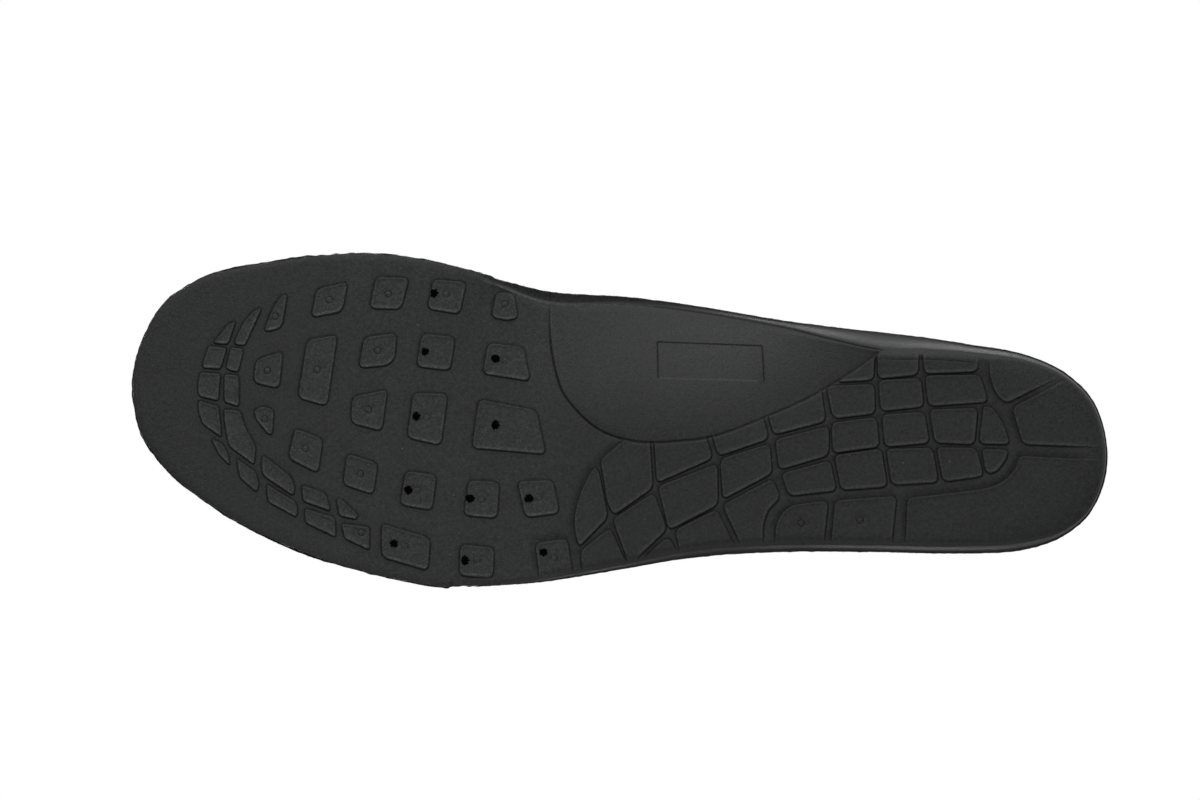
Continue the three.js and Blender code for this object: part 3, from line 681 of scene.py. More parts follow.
    def painted_shade(self):
        """Mask of painted shade: darker at the feet of the pads, in every crease, round the vents' torn rims,
        over the arch side's flange and wall and at the ends of the die cut, and faintly darker over the
        midfoot.
        """
        step, arch, _, fold, pins = self.creases()
        # Painted shade along the pads' feet, the creases, the label field's edge, the flange and the arch
        # side's wall.
        feet = bell(self.near, 0.05, 0.23) * (self.floor > self.rise) * self.runs_out * (1 - self.panel)
        line, ends, low = self.label_edge()
        label_shade = line * (0.65 + 0.35 * ends) * (1 - low)
        ticks = np.max([bell(self.x, crease, 0.14) for crease in FLANGE_CREASES_X], axis=0)
        flange = ramp(self.rim[:, 4] * self.medial, (0.5, 0.9)) * ramp(self.inside, (-0.15, -0.45))
        wall = 0.45 * ramp(self.inside, (0.3, -0.1)) * stretch(self.x, ARCH_WALL_X) * self.medial
        start = np.where(self.medial, *KNIFE_START_X) + 0.4
        knife = bell(self.x, start, 0.45) * ramp(self.inside, (1.6, 0.4))
        vent_shade = bell(np.maximum(self.from_vent - 1.0, 0), 0, 0.35)
        midfoot = 0.04 * stretch(self.x, MIDFOOT_X)
        return np.max([
            feet, step, 0.9 * arch, 1.1 * pins, 0.9 * vent_shade, 0.5 * fold, label_shade, flange * (0.7 + 0.6 * ticks),
            wall, 0.9 * knife, midfoot], axis=0)


# ---- plan meshes ----

TEAR, TEAR_LIMITS = 0.12, (0.7, 1.3)
SCALLOP_DEPTH, SCALLOP_PITCH, SCALLOP_X, SCALLOP_REACH = 0.26, 4.3, 92, 16
KNIFE_STEP = 0.5
# More cells than a column of the fill's grid can have.
CELLS = 100000


def vent_outlines(radius, count=28):
    """The punched holes' rims: circles whose radius wanders with a few small tears."""
    rng = np.random.default_rng(5)
    angle = np.linspace(0, 2 * math.pi, count, endpoint=False)
    out = []
    for index, centre in enumerate(VENTS):
        tears = TEAR * np.sin((7 + index % 4) * angle + index) + TEAR * ripple(count, rng, 0.8)
        out.append(centre + unit_circle(count) * (radius * np.clip(1 + tears, *TEAR_LIMITS))[:, None])
    return out


def knife_mark(xy):
    """1 where the die-cut edge ends in a small step, one on each side, fading to the toe as e^(-x / 5)."""
    past = xy[:, 0] - np.where(xy[:, 1] > 0, *KNIFE_START_X)
    return smooth(past / 1.2) * np.exp(-np.maximum(past - 1.2, 0) / 5)


def cut_outline(spacing, seed, spread, grow):
    """The outer edge: the rim line, rough where it is die-cut, with scallops where the knife slipped."""
    rng = np.random.default_rng(seed)
    line = rim_samples(spacing)
    xy, count = line[:, :2], len(line)
    cut = die_cut(line[:, 3])
    rough = (0.05 * ripple(count, rng, 1.2) + 0.08 * ripple(count, rng, 5)) * (0.12 + 0.88 * cut)
    slipped = bell(xy[:, 0], SCALLOP_X, SCALLOP_REACH) * (xy[:, 1] > 0)
    scallop = -SCALLOP_DEPTH * np.abs(np.sin(np.arange(count) * spacing * math.pi / SCALLOP_PITCH)) * slipped
    out = (rough + scallop) * spread + grow * cut + KNIFE_STEP * knife_mark(xy)
    return xy - inward_normals(xy) * out[:, None], line


def clipped(loop, keep):
    """The runs of a closed loop whose points are kept, as open lines."""
    start = int(np.argmin(keep))
    order = (np.arange(len(loop)) + start) % len(loop)
    change = np.flatnonzero(np.diff(np.concatenate([[0], keep[order].astype(int), [0]])))
    return [loop[order[a:b]] for a, b in zip(change[::2], change[1::2]) if b - a > 1]


def fitted(loops):
    """(line, is it closed) for every loop, cut where it would touch the outer edge or a vent's rim."""
    out = []
    for loop in loops:
        if vent_gap(loop).min() < 3:
            loop = densified(loop, 0.4)
        keep = (rim_field(loop)[0] > 0.75) & (vent_gap(loop) > 1.6)
        if keep.all():
            out.append((loop, True))
        elif keep.any():
            out += [(run, False) for run in clipped(loop, keep)]
    return out


def edge_lines(line, distances):
    """Closed lines at growing distances inside the rim, kept clear of a rough edge."""
    normal, cut = inward_normals(line[:, :2]), die_cut(line[:, 3])
    out, least = [], 0.14 + 0.46 * cut
    for distance in distances:
        least = np.maximum(np.broadcast_to(distance, len(line)), least + 0.03)
        out.append((line[:, :2] + normal * least[:, None], True))
    return out


def fill_points(spacing, clear, loops):
    """Points of a hexagonal grid inside the rim, none in or next to a square cell that a line crosses."""
    low, high = RIM_LINE[:, :2].min(0), RIM_LINE[:, :2].max(0)
    rows = np.arange(low[1], high[1], spacing * math.sqrt(3) / 2)
    x, y = np.meshgrid(np.arange(low[0], high[0], spacing), rows)
    x = x + (np.arange(len(rows)) % 2 * spacing / 2)[:, None]
    grid = np.stack([x.ravel(), y.ravel()], axis=1)
    grid = grid[rim_field(grid)[0] > 1.2]
    dots = np.vstack([densified(loop, clear) for loop in loops])
    taken = np.unique(np.round(dots / clear).astype(int) @ (CELLS, 1))
    cell = np.round(grid / clear).astype(int) @ (CELLS, 1)
    near = [np.isin(cell + i * CELLS + j, taken) for i in (-1, 0, 1) for j in (-1, 0, 1)]
    return grid[~np.any(near, axis=0)]


def plan_mesh(outer, holes, lines, fill):
    """A triangulated plan inside `outer` and outside `holes` that follows every line.

    Returns the points, the counterclockwise triangles, and the indices of the outer loop and of each hole.
    """
    loops = [(outer, True), *[(hole, True) for hole in holes], *lines]
    sizes = np.array([len(loop) for loop, _ in loops])
    starts = np.cumsum(sizes) - sizes
    edges = []
    for start, size, (_, closed) in zip(starts, sizes, loops):
        first = np.arange(size if closed else size - 1)
        edges.append(np.stack([first, (first + 1) % size], axis=1) + start)
    points = np.vstack([*[loop for loop, _ in loops], fill])
    corners = [Vector(point) for point in points.tolist()]
    found, _, faces, sources, *_ = delaunay_2d_cdt(corners, np.vstack(edges).tolist(), [], 1, 1e-5, True)
    xy = np.array([tuple(point) for point in found])
    faces = np.array([tuple(face) for face in faces])
    origin = np.full(len(points), -1)
    counts = [len(merged) for merged in sources]
    origin[[i for merged in sources for i in merged]] = np.repeat(np.arange(len(counts)), counts)
    a, b, c = (xy[faces[:, k]] for k in range(3))
    turn = (b - a)[:, 0] * (c - a)[:, 1] - (b - a)[:, 1] * (c - a)[:, 0]
    faces = np.where((turn < 0)[:, None], faces[:, ::-1], faces)
    middle = xy[faces].mean(axis=1)
    keep = np.ones(len(faces), bool)
    edge = np.flatnonzero(rim_field(middle)[0] < 1.5)
    keep[edge] = signed_distance(middle[edge], outer) < 0
    for hole in holes:
        box = np.flatnonzero(np.hypot(*(middle - hole.mean(0)).T) < 3)
        keep[box] &= signed_distance(middle[box], hole) > 0
    rings = [origin[start:start + n] for start, n in zip(starts, sizes[:1 + len(holes)])]
    return xy, faces[keep], rings


def ring_wall(rings):
    """Triangles between neighbouring closed rings of vertex indices, facing right of the rings' direction."""
    faces = []
    for low, high in zip(rings[:-1], rings[1:]):
        after, above = np.roll(low, -1), np.roll(high, -1)
        faces += [np.stack([low, after, above], axis=1), np.stack([low, above, high], axis=1)]
    return np.vstack(faces)


def slab(name, lower, upper, rows, swell, attributes=()):
    """A closed layer: two plan meshes with heights, joined by a wall round the outside and one in each hole.

    `lower` and `upper` are (plan mesh, heights); `rows` rings are put between them on the outside, and
    `swell(t, count)` says how far a ring at share t of the wall's height stands out.
    """
    (low_xy, low_faces, low_rings), (up_xy, up_faces, up_rings) = lower[0], upper[0]
    vertices = [np.column_stack([low_xy, lower[1]]), np.column_stack([up_xy, upper[1]])]
    faces = [low_faces[:, ::-1], up_faces + len(low_xy)]
    total = len(low_xy) + len(up_xy)
    for number, (low, up) in enumerate(zip(low_rings, up_rings)):
        start, end = vertices[0][low], vertices[1][up]
        rings = [low]
        for t in (np.arange(rows) + 1) / (rows + 1) if number == 0 else ():
            middle = start * (1 - t) + end * t
            middle[:, :2] -= inward_normals(start[:, :2]) * np.reshape(swell(t, len(low)), (-1, 1))
            vertices.append(middle)
            rings.append(total + np.arange(len(low)))
            total += len(low)
        wall = ring_wall([*rings, up + len(low_xy)])
        faces.append(wall if number == 0 else wall[:, ::-1])
    extra = np.zeros(total - len(low_xy))
    masks = {key: np.concatenate([values, extra]) for key, values in attributes}
    return closed_mesh(name, np.vstack(vertices), np.vstack(faces), masks)


def closed_mesh(name, vertices, faces, masks):
    """A smooth-shaded mesh object from millimetre arrays; raises if any seam is open."""
    faces = faces[(faces[:, 0] != faces[:, 1]) & (faces[:, 1] != faces[:, 2]) & (faces[:, 2] != faces[:, 0])]
    edges = np.vstack([faces[:, [0, 1]], faces[:, [1, 2]], faces[:, [2, 0]]])
    code = edges.min(axis=1) * len(vertices) + edges.max(axis=1)
    _, uses = np.unique(code, return_counts=True)
    if np.any(uses != 2):
        raise RuntimeError(f"{name}: {int(np.sum(uses != 2))} edges don't join two faces")
    placed = np.column_stack([vertices[:, :2] + PLAN_SHIFT, vertices[:, 2]]) * MM
    mesh = bpy.data.meshes.new(name)
    mesh.vertices.add(len(placed))
    mesh.vertices.foreach_set("co", placed.astype(np.float32).ravel())
    mesh.loops.add(faces.size)
    mesh.loops.foreach_set("vertex_index", faces.astype(np.int32).ravel())
    mesh.polygons.add(len(faces))
    mesh.polygons.foreach_set("loop_start", np.arange(0, faces.size, 3, dtype=np.int32))
    mesh.polygons.foreach_set("use_smooth", np.ones(len(faces), bool))
    for key, values in masks.items():
        mesh.attributes.new(key, "FLOAT", "POINT").data.foreach_set("value", values.astype(np.float32))
    mesh.update(calc_edges=True)
    obj = bpy.data.objects.new(name, mesh)
    bpy.context.scene.collection.objects.link(obj)
    return obj


# ---- materials ----


def node_group(name, inputs, outputs):
    """An empty shader node group; inputs are (name, type, default) and outputs (name, type)."""
    group = bpy.data.node_groups.new(name, "ShaderNodeTree")
    for label, kind, default in inputs:
        socket = group.interface.new_socket(label, in_out="INPUT", socket_type=kind)
        if default is not None:
            socket.default_value = default
    for label, kind in outputs:
        group.interface.new_socket(label, in_out="OUTPUT", socket_type=kind)
    return group, group.nodes.new("NodeGroupInput"), group.nodes.new("NodeGroupOutput")


def put(tree, kind, inputs=(), **settings):
    """A node with its settings; each input is a plain value or another node's output."""
    node = tree.nodes.new(kind)
    for key, value in settings.items():
        setattr(node, key, value)
    for key, value in dict(inputs).items():
        if isinstance(value, bpy.types.NodeSocket):
            tree.links.new(value, node.inputs[key])
        else:
            node.inputs[key].default_value = value
    return node


def noise(tree, vector, scale, detail=3.0, roughness=0.5):
    """The value of a noise texture."""
    inputs = {"Vector": vector, "Scale": scale, "Detail": detail, "Roughness": roughness}
    return put(tree, "ShaderNodeTexNoise", inputs).outputs["Fac"]


def ranged(tree, value, low, high, to_low=0.0, to_high=1.0, kind="LINEAR"):
    """`value` carried from one range to another and held there."""
    inputs = {"Value": value, "From Min": low, "From Max": high, "To Min": to_low, "To Max": to_high}
    return put(tree, "ShaderNodeMapRange", inputs, interpolation_type=kind).outputs["Result"]


def maths(tree, operation, *values):
    """A maths node on sockets or plain numbers."""
    return put(tree, "ShaderNodeMath", dict(enumerate(values)), operation=operation).outputs[0]


def total_of(tree, *values):
    """The sum of sockets or plain numbers."""
    out = values[0]
    for value in values[1:]:
        out = maths(tree, "ADD", out, value)
    return out


def toned(tree, colour, tone):
    """A colour times a grey tone."""
    inputs = {0: colour, "Scale": tone}
    return put(tree, "ShaderNodeVectorMath", inputs, operation="SCALE").outputs["Vector"]


def foam_skin_group():
    """Moulded foam skin: fine grain, soft blotches, tiny pores and a few pale dust specks, with painted
    highlight and painted shade taken from two masks.
    """
    group, entry, leave = node_group(
        "Foam skin",
        [("Vector", "NodeSocketVector", None), ("Colour", "NodeSocketColor", None),
         ("Painted highlight", "NodeSocketFloat", 0.0), ("Painted shade", "NodeSocketFloat", 0.0),
         ("Grain", "NodeSocketFloat", 1.0)],
        [("Colour", "NodeSocketColor"), ("Roughness", "NodeSocketFloat"), ("Height", "NodeSocketFloat")])
    at = entry.outputs["Vector"]
    grain, mid = noise(group, at, 2000, 2.0, 0.7), noise(group, at, 850, 3.0, 0.65)
    tone = total_of(
        group, 1.0,
        ranged(group, grain, 0.3, 0.7, -0.42, 0.42),
        ranged(group, mid, 0.3, 0.7, -0.30, 0.30),
        # Painted highlight: the highlight mask pales the tone and lifts painted glints out of the grain and
        # the blotches.
        maths(group, "MULTIPLY", entry.outputs["Painted highlight"], ranged(group, mid, 0.48, 0.66, 0.0, 0.5)),
        maths(group, "MULTIPLY", entry.outputs["Painted highlight"], ranged(group, grain, 0.48, 0.68, 0.0, 0.7)),
        ranged(group, noise(group, at, 60, 3.0, 0.55), 0.3, 0.7, -0.07, 0.07),
        ranged(group, noise(group, at, 14, 2.0), 0.3, 0.7, -0.05, 0.05),
        maths(group, "MULTIPLY", entry.outputs["Painted highlight"], 0.22),
        # Painted shade: the shade mask darkens the tone.
        maths(group, "MULTIPLY", entry.outputs["Painted shade"], -0.85))
    tone = maths(group, "MAXIMUM", tone, 0.08)
    speck = put(group, "ShaderNodeTexVoronoi", {"Vector": at, "Scale": 450.0})
    random = put(group, "ShaderNodeSeparateColor", {"Color": speck.outputs["Color"]}).outputs["Red"]
    chosen = ranged(group, random, 0.972, 0.985)
    dot = ranged(group, speck.outputs["Distance"], 0.07, 0.12, 4.0, 0.0)
    tone = total_of(group, tone, maths(group, "MULTIPLY", dot, chosen))
    group.links.new(toned(group, entry.outputs["Colour"], tone), leave.inputs["Colour"])
    rough = total_of(
        group,
        ranged(group, mid, 0.3, 0.7, 0.50, 0.64),
        maths(group, "MULTIPLY", entry.outputs["Painted shade"], 0.25))
    group.links.new(rough, leave.inputs["Roughness"])
    pores = put(group, "ShaderNodeTexVoronoi", {"Vector": at, "Scale": 1500.0})
    height = total_of(
        group, maths(group, "MULTIPLY", grain, 0.6), maths(group, "MULTIPLY", mid, 0.8),
        ranged(group, pores.outputs["Distance"], 0.0, 0.35, -0.5, 0.0))
    group.links.new(maths(group, "MULTIPLY", height, entry.outputs["Grain"]), leave.inputs["Height"])
    return group


def knit_group():
    """Fine jersey knit seen in plan: columns of V-shaped stitches made of two slanted waves, with fuzz."""
    group, entry, leave = node_group(
        "Jersey knit",
        [("Vector", "NodeSocketVector", None), ("Colour", "NodeSocketColor", None),
         ("Wale width", "NodeSocketFloat", 0.0013), ("Course height", "NodeSocketFloat", 0.0011)],
        [("Colour", "NodeSocketColor"), ("Roughness", "NodeSocketFloat"), ("Height", "NodeSocketFloat")])
    at = entry.outputs["Vector"]
    split = put(group, "ShaderNodeSeparateXYZ", {0: at})
    wobble = ranged(group, noise(group, at, 260, 2.0), 0.2, 0.8, -0.12, 0.12)
    wales = maths(group, "DIVIDE", split.outputs["Y"], entry.outputs["Wale width"])
    across = total_of(group, wales, wobble)
    courses = maths(group, "DIVIDE", split.outputs["X"], entry.outputs["Course height"])
    along = total_of(group, courses, wobble)
    fold = maths(group, "ABSOLUTE", maths(group, "SUBTRACT", maths(group, "FRACT", across), 0.5))
    slant = maths(group, "FRACT", total_of(group, along, maths(group, "MULTIPLY", fold, 1.3)))
    yarn = maths(group, "PINGPONG", maths(group, "MULTIPLY", slant, 2.0), 1.0)
    leg = maths(group, "PINGPONG", maths(group, "MULTIPLY", fold, 4.0), 1.0)
    stitch = maths(group, "MULTIPLY", ranged(group, yarn, 0.0, 0.75, kind="SMOOTHSTEP"),
                   ranged(group, leg, 0.0, 0.7, kind="SMOOTHSTEP"))
    fuzz = noise(group, at, 3800, 2.0, 0.7)
    tone = total_of(
        group, ranged(group, stitch, 0.0, 1.0, 0.45, 1.35), ranged(group, fuzz, 0.3, 0.7, -0.2, 0.2))
    tone = maths(group, "MULTIPLY", tone, ranged(group, noise(group, at, 35), 0.3, 0.7, 0.85, 1.15))
    group.links.new(toned(group, entry.outputs["Colour"], tone), leave.inputs["Colour"])
    group.links.new(ranged(group, stitch, 0.0, 1.0, 0.95, 0.80), leave.inputs["Roughness"])
    height = total_of(group, stitch, maths(group, "MULTIPLY", fuzz, 0.25))
    group.links.new(height, leave.inputs["Height"])
    return group


def film_group():
    """Dried bonding film: a smooth skin with slow waves and cloudy patches."""
    group, entry, leave = node_group(
        "Bonding film",
        [("Vector", "NodeSocketVector", None), ("Colour", "NodeSocketColor", None)],
        [("Colour", "NodeSocketColor"), ("Roughness", "NodeSocketFloat"), ("Height", "NodeSocketFloat")])
    cloud = noise(group, entry.outputs["Vector"], 180, 4.0)
    tone = ranged(group, cloud, 0.3, 0.7, 0.8, 1.2)
    group.links.new(toned(group, entry.outputs["Colour"], tone), leave.inputs["Colour"])
    group.links.new(ranged(group, cloud, 0.3, 0.7, 0.35, 0.55), leave.inputs["Roughness"])
    group.links.new(cloud, leave.inputs["Height"])
    return group


def principled(name):
    """A new material, its node tree and its Principled BSDF."""
    material = bpy.data.materials.new(name)
    material.use_nodes = True
    return material, material.node_tree, material.node_tree.nodes["Principled BSDF"]


def finish_of(name, maker, colour, bump, sheen=0.0, specular=0.5, masks=()):
    """A principled material whose colour, roughness and bump come from a node group in Object coordinates."""
    group_name = {foam_skin_group: "Foam skin", knit_group: "Jersey knit", film_group: "Bonding film"}[maker]
    group = bpy.data.node_groups.get(group_name) or maker()
    material, tree, shader = principled(name)
    shader.inputs["Specular IOR Level"].default_value = specular
    shader.inputs["Sheen Weight"].default_value = sheen
    shader.inputs["Sheen Roughness"].default_value = 0.6
    surface = put(tree, "ShaderNodeGroup", node_tree=group)
    tree.links.new(put(tree, "ShaderNodeTexCoord").outputs["Object"], surface.inputs["Vector"])
    surface.inputs["Colour"].default_value = (*colour, 1.0)
    for key, attribute in masks:
        reader = put(tree, "ShaderNodeAttribute", attribute_name=attribute)
        tree.links.new(reader.outputs["Fac"], surface.inputs[key])
    relief = put(tree, "ShaderNodeBump", {"Height": surface.outputs["Height"], "Distance": bump})
    tree.links.new(surface.outputs["Colour"], shader.inputs["Base Color"])
    tree.links.new(surface.outputs["Roughness"], shader.inputs["Roughness"])
    tree.links.new(relief.outputs["Normal"], shader.inputs["Normal"])
    return material


# ---- pieces ----

FIBRE_RADIUS = 0.028


def place(obj, node, sharp):
    """Sets a finished piece's sharp edges, ties it to its body and hides its CAD node, if it has one."""
    obj.data.set_sharp_from_angle(angle=math.radians(sharp))
    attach(obj, "root")
    if node:
        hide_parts(node)


def upper_plan(outline, line, holes):
    """The plan mesh of a smooth upper face: a few lines along the rim and a 2.2 mm fill."""
    lines = edge_lines(line[::2], [0.5, 1.2, 2.2, 3.6])
    fill = fill_points(2.2, 1.0, [outline, *holes, *[loop for loop, _ in lines]])
    return plan_mesh(outline, holes, lines, fill[rim_field(fill)[0] > 4.4])


class INSOLE_OT_foam_body(bpy.types.Operator):
    """Build the moulded foam body with its cushioning relief"""

    bl_idname = "insole.foam_body"
    bl_label = "Foam body"

    def execute(self, context):
        sizes = context.scene.insole_relief
        relief = Relief(sizes)
        outline, line = cut_outline(0.7, 11, 1.0, -0.25)
        holes = vent_outlines(sizes.vent_radius / MM)
        plan = plan_mesh(outline, holes, *self.guides(relief, line, outline, holes))
        sole = Underside(relief, plan[0])
        top = upper_plan(outline, line, holes)
        rng = np.random.default_rng(3)
        foam = slab(
            "foam_body_moulded", (plan, sole.heights()), (top, foam_top(top[0])), 3,
            lambda t, count: 0.04 * ripple(count, rng, 1.0) * math.sin(math.pi * t),
            # Point masks of painted highlight and painted shade, read by the foam's material.
            [("painted_highlight", sole.painted_highlight()), ("painted_shade", sole.painted_shade())])
        foam.data.materials.append(finish_of(
            "Charcoal moulded foam", foam_skin_group, sizes.foam_colour, 0.00010,
            masks=[("Painted highlight", "painted_highlight"), ("Painted shade", "painted_shade")]))
        place(foam, "foam_body", 62)
        return {"FINISHED"}

    @staticmethod
    def guides(relief, line, outline, holes):
        """The lines that the underside's plan mesh follows, and the points between them."""
        flange, wall = line[:, 4], line[:, 5]
        inner = flange + wall
        steep = [flange * 0.5, flange, *[flange + wall * share for share in WALL_LINES], inner]
        lines = edge_lines(line, steep)
        lines += edge_lines(line[::2], [inner[::2] + past for past in ROUNDING_LINES])
        marks = [centre + unit_circle(20) * radius for centre in PIN_MARKS for radius in PIN_LINES]
        for hole in holes:
            centre = hole.mean(0)
            lines += [(centre + (hole - centre) * grown, True) for grown in (1.12, 1.3)]
        lines += fitted([*marks, *relief.lines()])
        fill = fill_points(1.8, 0.9, [outline, *holes, *[loop for loop, _ in lines]])
        return lines, fill


class INSOLE_OT_bonding_film(bpy.types.Operator):
    """Build the thin film that bonds the cloth to the foam"""

    bl_idname = "insole.bonding_film"
    bl_label = "Bonding film"

    def execute(self, context):
        sizes = context.scene.insole_cover
        outline, line = cut_outline(0.9, 23, 0.6, -0.30)
        holes = vent_outlines(context.scene.insole_relief.vent_radius / MM)
        plan = upper_plan(outline, line, holes)
        top = foam_top(plan[0])
        film = slab(
            "bonding_film_layer", (plan, top + FILM_GAP), (plan, top + FILM_GAP + sizes.film_thickness / MM),
            0, lambda t, count: 0.0)
        film.data.materials.append(finish_of("Dried bonding film", film_group, sizes.film_colour, 0.00003))
        place(film, "adhesive_film", 50)
        return {"FINISHED"}


class INSOLE_OT_cloth_cover(bpy.types.Operator):
    """Build the knit cloth cover and the loose fibres of its cut edge"""

    bl_idname = "insole.cloth_cover"
    bl_label = "Cloth cover"

    def execute(self, context):
        sizes = context.scene.insole_cover
        outline, line = cut_outline(0.6, 37, 1.0, 0.0)
        plan = upper_plan(outline, line, [])
        under = foam_top(plan[0]) + CLOTH_GAP + sizes.film_thickness / MM
        over = under + sizes.cloth_thickness / MM
        rng = np.random.default_rng(41)
        cloth = slab(
            "top_cover_cloth", (plan, under), (plan, over), 3,
            lambda t, count: 0.10 * math.sin(math.pi * t) + 0.05 * ripple(count, rng, 0.9))
        cloth.data.materials.append(finish_of(
            "Black jersey knit", knit_group, sizes.cloth_colour, 0.00025, sheen=0.25, specular=0.25))
        place(cloth, "top_cover", 60)
        fibres = self.fibres(sizes, outline, line)
        fibres.data.materials.append(finish_of(
            "Black yarn fibre", film_group, sizes.cloth_colour, 0.00002, sheen=0.2, specular=0.3))
        place(fibres, None, 89)
        return {"FINISHED"}

    @staticmethod
    def fibres(sizes, outline, line):
        """Short three-sided fibres along the cut edge, one mesh.

        Each leaves the edge outward, turned by a random angle, and bends as t^2 to one side while it thins to
        a quarter; it has rings of three vertices at t = 0, 1/3, 2/3 and 1.
        """
        rng = np.random.default_rng(53)
        weight = 0.25 + die_cut(line[:, 3])
        start = rng.choice(len(outline), sizes.fibre_count, p=weight / weight.sum())
        outward = -inward_normals(outline)[start]
        turn = rng.normal(0, 0.8, sizes.fibre_count)
        x = outward[:, 0] * np.cos(turn) - outward[:, 1] * np.sin(turn)
        y = outward[:, 0] * np.sin(turn) + outward[:, 1] * np.cos(turn)
        way = np.stack([x, y, rng.normal(-0.1, 0.35, sizes.fibre_count)], axis=1)
        side = np.stack([-y, x, 0 * x], axis=1)
        length = rng.gamma(3.0, 0.13, sizes.fibre_count)[:, None]
        bend = rng.normal(0, 0.35, sizes.fibre_count)[:, None]
        root = foam_top(outline[start]) + (CLOTH_GAP + sizes.film_thickness / MM)
        root = root + rng.uniform(0.1, 0.8, sizes.fibre_count) * sizes.cloth_thickness / MM
        base = np.column_stack([outline[start] - outward * 0.15, root])
        angle = np.arange(3) * 2 * math.pi / 3
        rings = []
        for t in (0, 1 / 3, 2 / 3, 1):
            centre = base + (way * t + side * bend * t**2) * length
            radius = FIBRE_RADIUS * (1 - 0.75 * t)
            ring = [centre + radius * (side * math.cos(a) + np.array([0, 0, math.sin(a)])) for a in angle]
            rings.append(np.stack(ring, axis=1))
        vertices = np.stack(rings, axis=1).reshape(-1, 3)
        low = np.arange(9).reshape(3, 3)
        near = np.roll(low, -1, axis=1)
        sides = [np.stack([low, near, near + 3], axis=-1), np.stack([low, near + 3, low + 3], axis=-1)]
        one = np.vstack([np.concatenate(sides).reshape(-1, 3), [[0, 2, 1], [9, 10, 11]]])
        faces = (one[None] + 12 * np.arange(sizes.fibre_count)[:, None, None]).reshape(-1, 3)
        return closed_mesh("top_cover_cut_fibres", vertices, faces, {})


# ---- stage ----

# Rectangular lamps: name, place and aim in metres, size in metres, power in watts.
LAMPS = (
    ("key_above", (0.5, 0.0, 1.6), (0, 0, 0), (1.4, 1.4), 22),
    ("key_below_toe_arch", (0.27, 0.56, -0.68), (0.03, 0, 0), (0.35, 0.35), 2.65),
    ("strip_below_heel", (-1.1, 0.1, -0.40), (-0.14, 0, 0.005), (0.5, 0.2), 1.3),
    ("fill_below_ball", (0.07, -0.14, -0.60), (0.05, 0, 0), (0.4, 0.4), 0.36),
    ("strip_below_arch_side", (0.0, 1.1, -0.5), (0, 0, 0.005), (1.4, 0.4), 2.0),
    ("strip_below_outer_side", (-0.1, -1.2, -0.25), (0, 0, 0.005), (1.4, 0.2), 2.4),
)
SENSOR_WIDTH = 36
# Height of the sole's outline above the ground, in metres, and the middle of the view, in millimetres.
OUTLINE_HEIGHT, VIEW_CENTRE = 0.008, (6.14, 9.13)
FLOOR_HALF, FLOOR_DROP = 8, 0.0003


def soft_light(name, location, target, size, power):
    """A rectangular area light at `location` that faces `target`."""
    data = bpy.data.lights.new(name, "AREA")
    data.shape, data.size, data.size_y, data.energy = "RECTANGLE", size[0], size[1], power
    light = bpy.data.objects.new(name, data)
    light.location = location
    light.rotation_euler = (Vector(target) - Vector(location)).to_track_quat("-Z", "Y").to_euler()
    bpy.context.scene.collection.objects.link(light)


def white_surroundings(scene):
    """A world that is white to the camera; as light it is brightest level on the arch side."""
    world = bpy.data.worlds.new("White studio")
    world.use_nodes = True
    tree = world.node_tree
    tree.nodes.clear()
    place_of = put(tree, "ShaderNodeTexCoord")
    way = put(tree, "ShaderNodeSeparateXYZ", {0: place_of.outputs["Generated"]})
    low = ranged(tree, way.outputs["Z"], -0.75, -0.1, 0.10, 1.0)
    strength = maths(tree, "MULTIPLY", low, ranged(tree, way.outputs["Y"], -1.0, 1.0, 0.1, 0.72))
    seen = put(tree, "ShaderNodeLightPath").outputs["Is Camera Ray"]
    light = put(tree, "ShaderNodeBackground", {"Color": (1, 1, 1, 1), "Strength": strength})
    white = put(tree, "ShaderNodeBackground", {"Color": (1, 1, 1, 1), "Strength": 1.0})
    either = put(tree, "ShaderNodeMixShader", {0: seen, 1: light.outputs[0], 2: white.outputs[0]})
    put(tree, "ShaderNodeOutputWorld", {"Surface": either.outputs[0]})
    scene.world = world


def floor_material(colour):
    """A pale matt floor with faint mottling, clear from underneath so that the sole can be seen."""
    material, tree, shader = principled("Pale floor")
    shader.inputs["Roughness"].default_value = 0.85
    shader.inputs["Specular IOR Level"].default_value = 0.2
    at = put(tree, "ShaderNodeTexCoord").outputs["Object"]
    tone = ranged(tree, noise(tree, at, 3.0), 0.3, 0.7, 0.985, 1.015)
    tree.links.new(toned(tree, tuple(colour), tone), shader.inputs["Base Color"])
    clear = put(tree, "ShaderNodeBsdfTransparent")
    behind = put(tree, "ShaderNodeNewGeometry").outputs["Backfacing"]
    either = put(tree, "ShaderNodeMixShader", {0: behind, 1: shader.outputs[0], 2: clear.outputs[0]})
    tree.links.new(either.outputs[0], tree.nodes["Material Output"].inputs["Surface"])
    return material


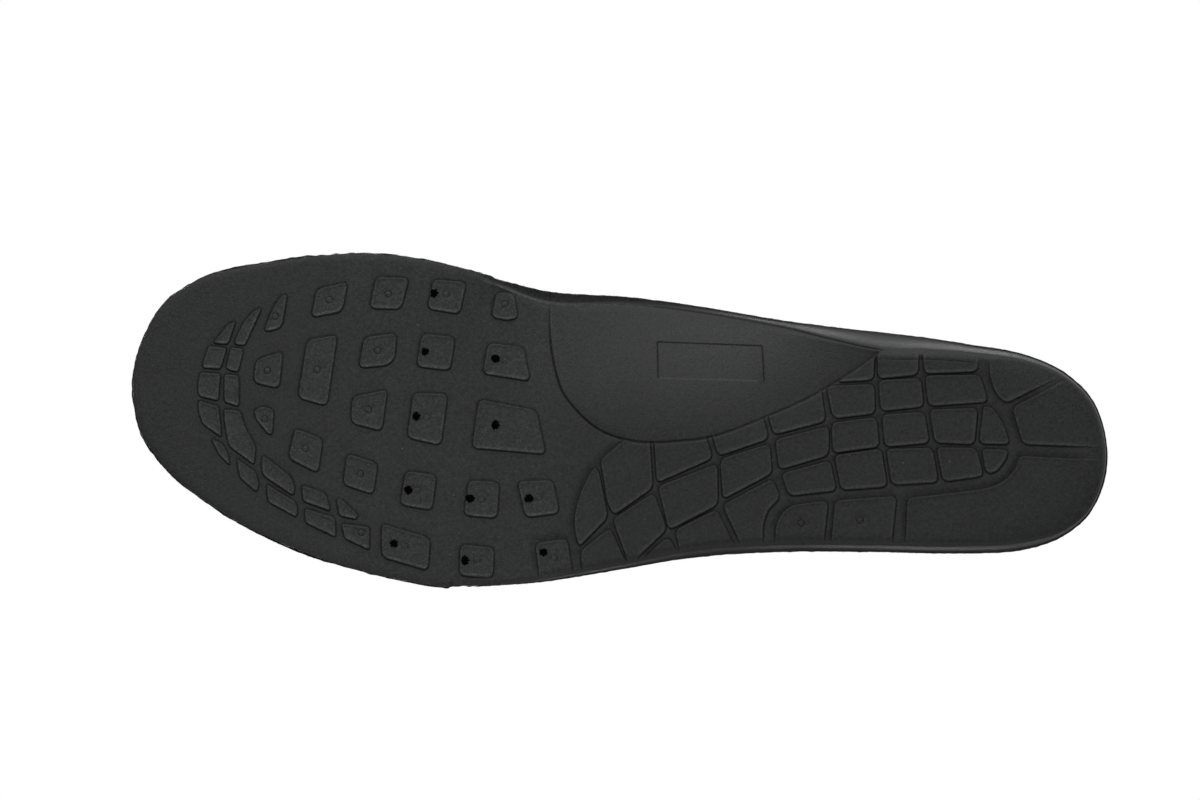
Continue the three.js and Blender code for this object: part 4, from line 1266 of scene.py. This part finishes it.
class INSOLE_OT_stage(bpy.types.Operator):
    """Build the floor, the light and the camera"""

    bl_idname = "insole.stage"
    bl_label = "Stage"

    def execute(self, context):
        scene, stage = context.scene, context.scene.insole_stage
        scene.view_settings.view_transform = "Standard"
        white_surroundings(scene)
        mesh = bpy.data.meshes.new("pale_floor")
        quarters = ((-1, -1), (1, -1), (1, 1), (-1, 1))
        corners = [(FLOOR_HALF * x, FLOOR_HALF * y, -FLOOR_DROP) for x, y in quarters]
        mesh.from_pydata(corners, [], [(0, 1, 2, 3)])
        floor = bpy.data.objects.new("pale_floor", mesh)
        mesh.materials.append(floor_material(stage.floor_colour))
        scene.collection.objects.link(floor)
        floor.visible_shadow = floor.visible_diffuse = floor.visible_glossy = False
        floor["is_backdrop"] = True
        for lamp in LAMPS:
            soft_light(*lamp)
        self.camera(scene, stage)
        return {"FINISHED"}

    @staticmethod
    def camera(scene, stage):
        """A long lens straight below the sole, rolled a little."""
        data = bpy.data.cameras.new("camera")
        data.sensor_width = SENSOR_WIDTH
        data.lens = (stage.camera_distance + OUTLINE_HEIGHT) * SENSOR_WIDTH / stage.frame_width
        data.clip_start, data.clip_end = 0.1, 30
        turn = stage.roll
        right = Vector((-math.cos(turn), math.sin(turn), 0))
        up = Vector((math.sin(turn), math.cos(turn), 0))
        at = Vector((*((np.array(VIEW_CENTRE) + PLAN_SHIFT) * MM), -stage.camera_distance))
        camera = bpy.data.objects.new("camera", data)
        axes = Matrix((right, up, Vector((0, 0, -1)))).transposed()
        camera.matrix_world = Matrix.Translation(at) @ axes.to_4x4()
        scene.collection.objects.link(camera)
        scene.camera = camera


# ---- panel and registration ----

OPERATORS = (INSOLE_OT_foam_body, INSOLE_OT_bonding_film, INSOLE_OT_cloth_cover, INSOLE_OT_stage)
SETTINGS = (
    ("insole_relief", InsoleReliefSettings),
    ("insole_cover", InsoleCoverSettings),
    ("insole_stage", InsoleStageSettings),
)


class INSOLE_PT_panel(bpy.types.Panel):
    """The insole's sizes, colours and steps"""

    bl_idname = "INSOLE_PT_panel"
    bl_label = "Cushioned insole"
    bl_space_type = "VIEW_3D"
    bl_region_type = "UI"
    bl_category = "Insole"

    def draw(self, context):
        for name, kind in SETTINGS:
            box = self.layout.box()
            for key in kind.__annotations__:
                box.prop(getattr(context.scene, name), key)
        for operator in OPERATORS:
            self.layout.operator(operator.bl_idname)


def register():
    """Adds the settings, the operators and the panel."""
    for name, kind in SETTINGS:
        bpy.utils.register_class(kind)
        setattr(bpy.types.Scene, name, bpy.props.PointerProperty(type=kind))
    for kind in (*OPERATORS, INSOLE_PT_panel):
        bpy.utils.register_class(kind)


def unregister():
    """Takes away what register() added."""
    for kind in (INSOLE_PT_panel, *reversed(OPERATORS)):
        bpy.utils.unregister_class(kind)
    for name, kind in reversed(SETTINGS):
        delattr(bpy.types.Scene, name)
        bpy.utils.unregister_class(kind)


def main():
    """Builds every piece and the stage."""
    register()
    bpy.ops.insole.foam_body()
    bpy.ops.insole.bonding_film()
    bpy.ops.insole.cloth_cover()
    bpy.ops.insole.stage()


if __name__ == "__main__":
    main()
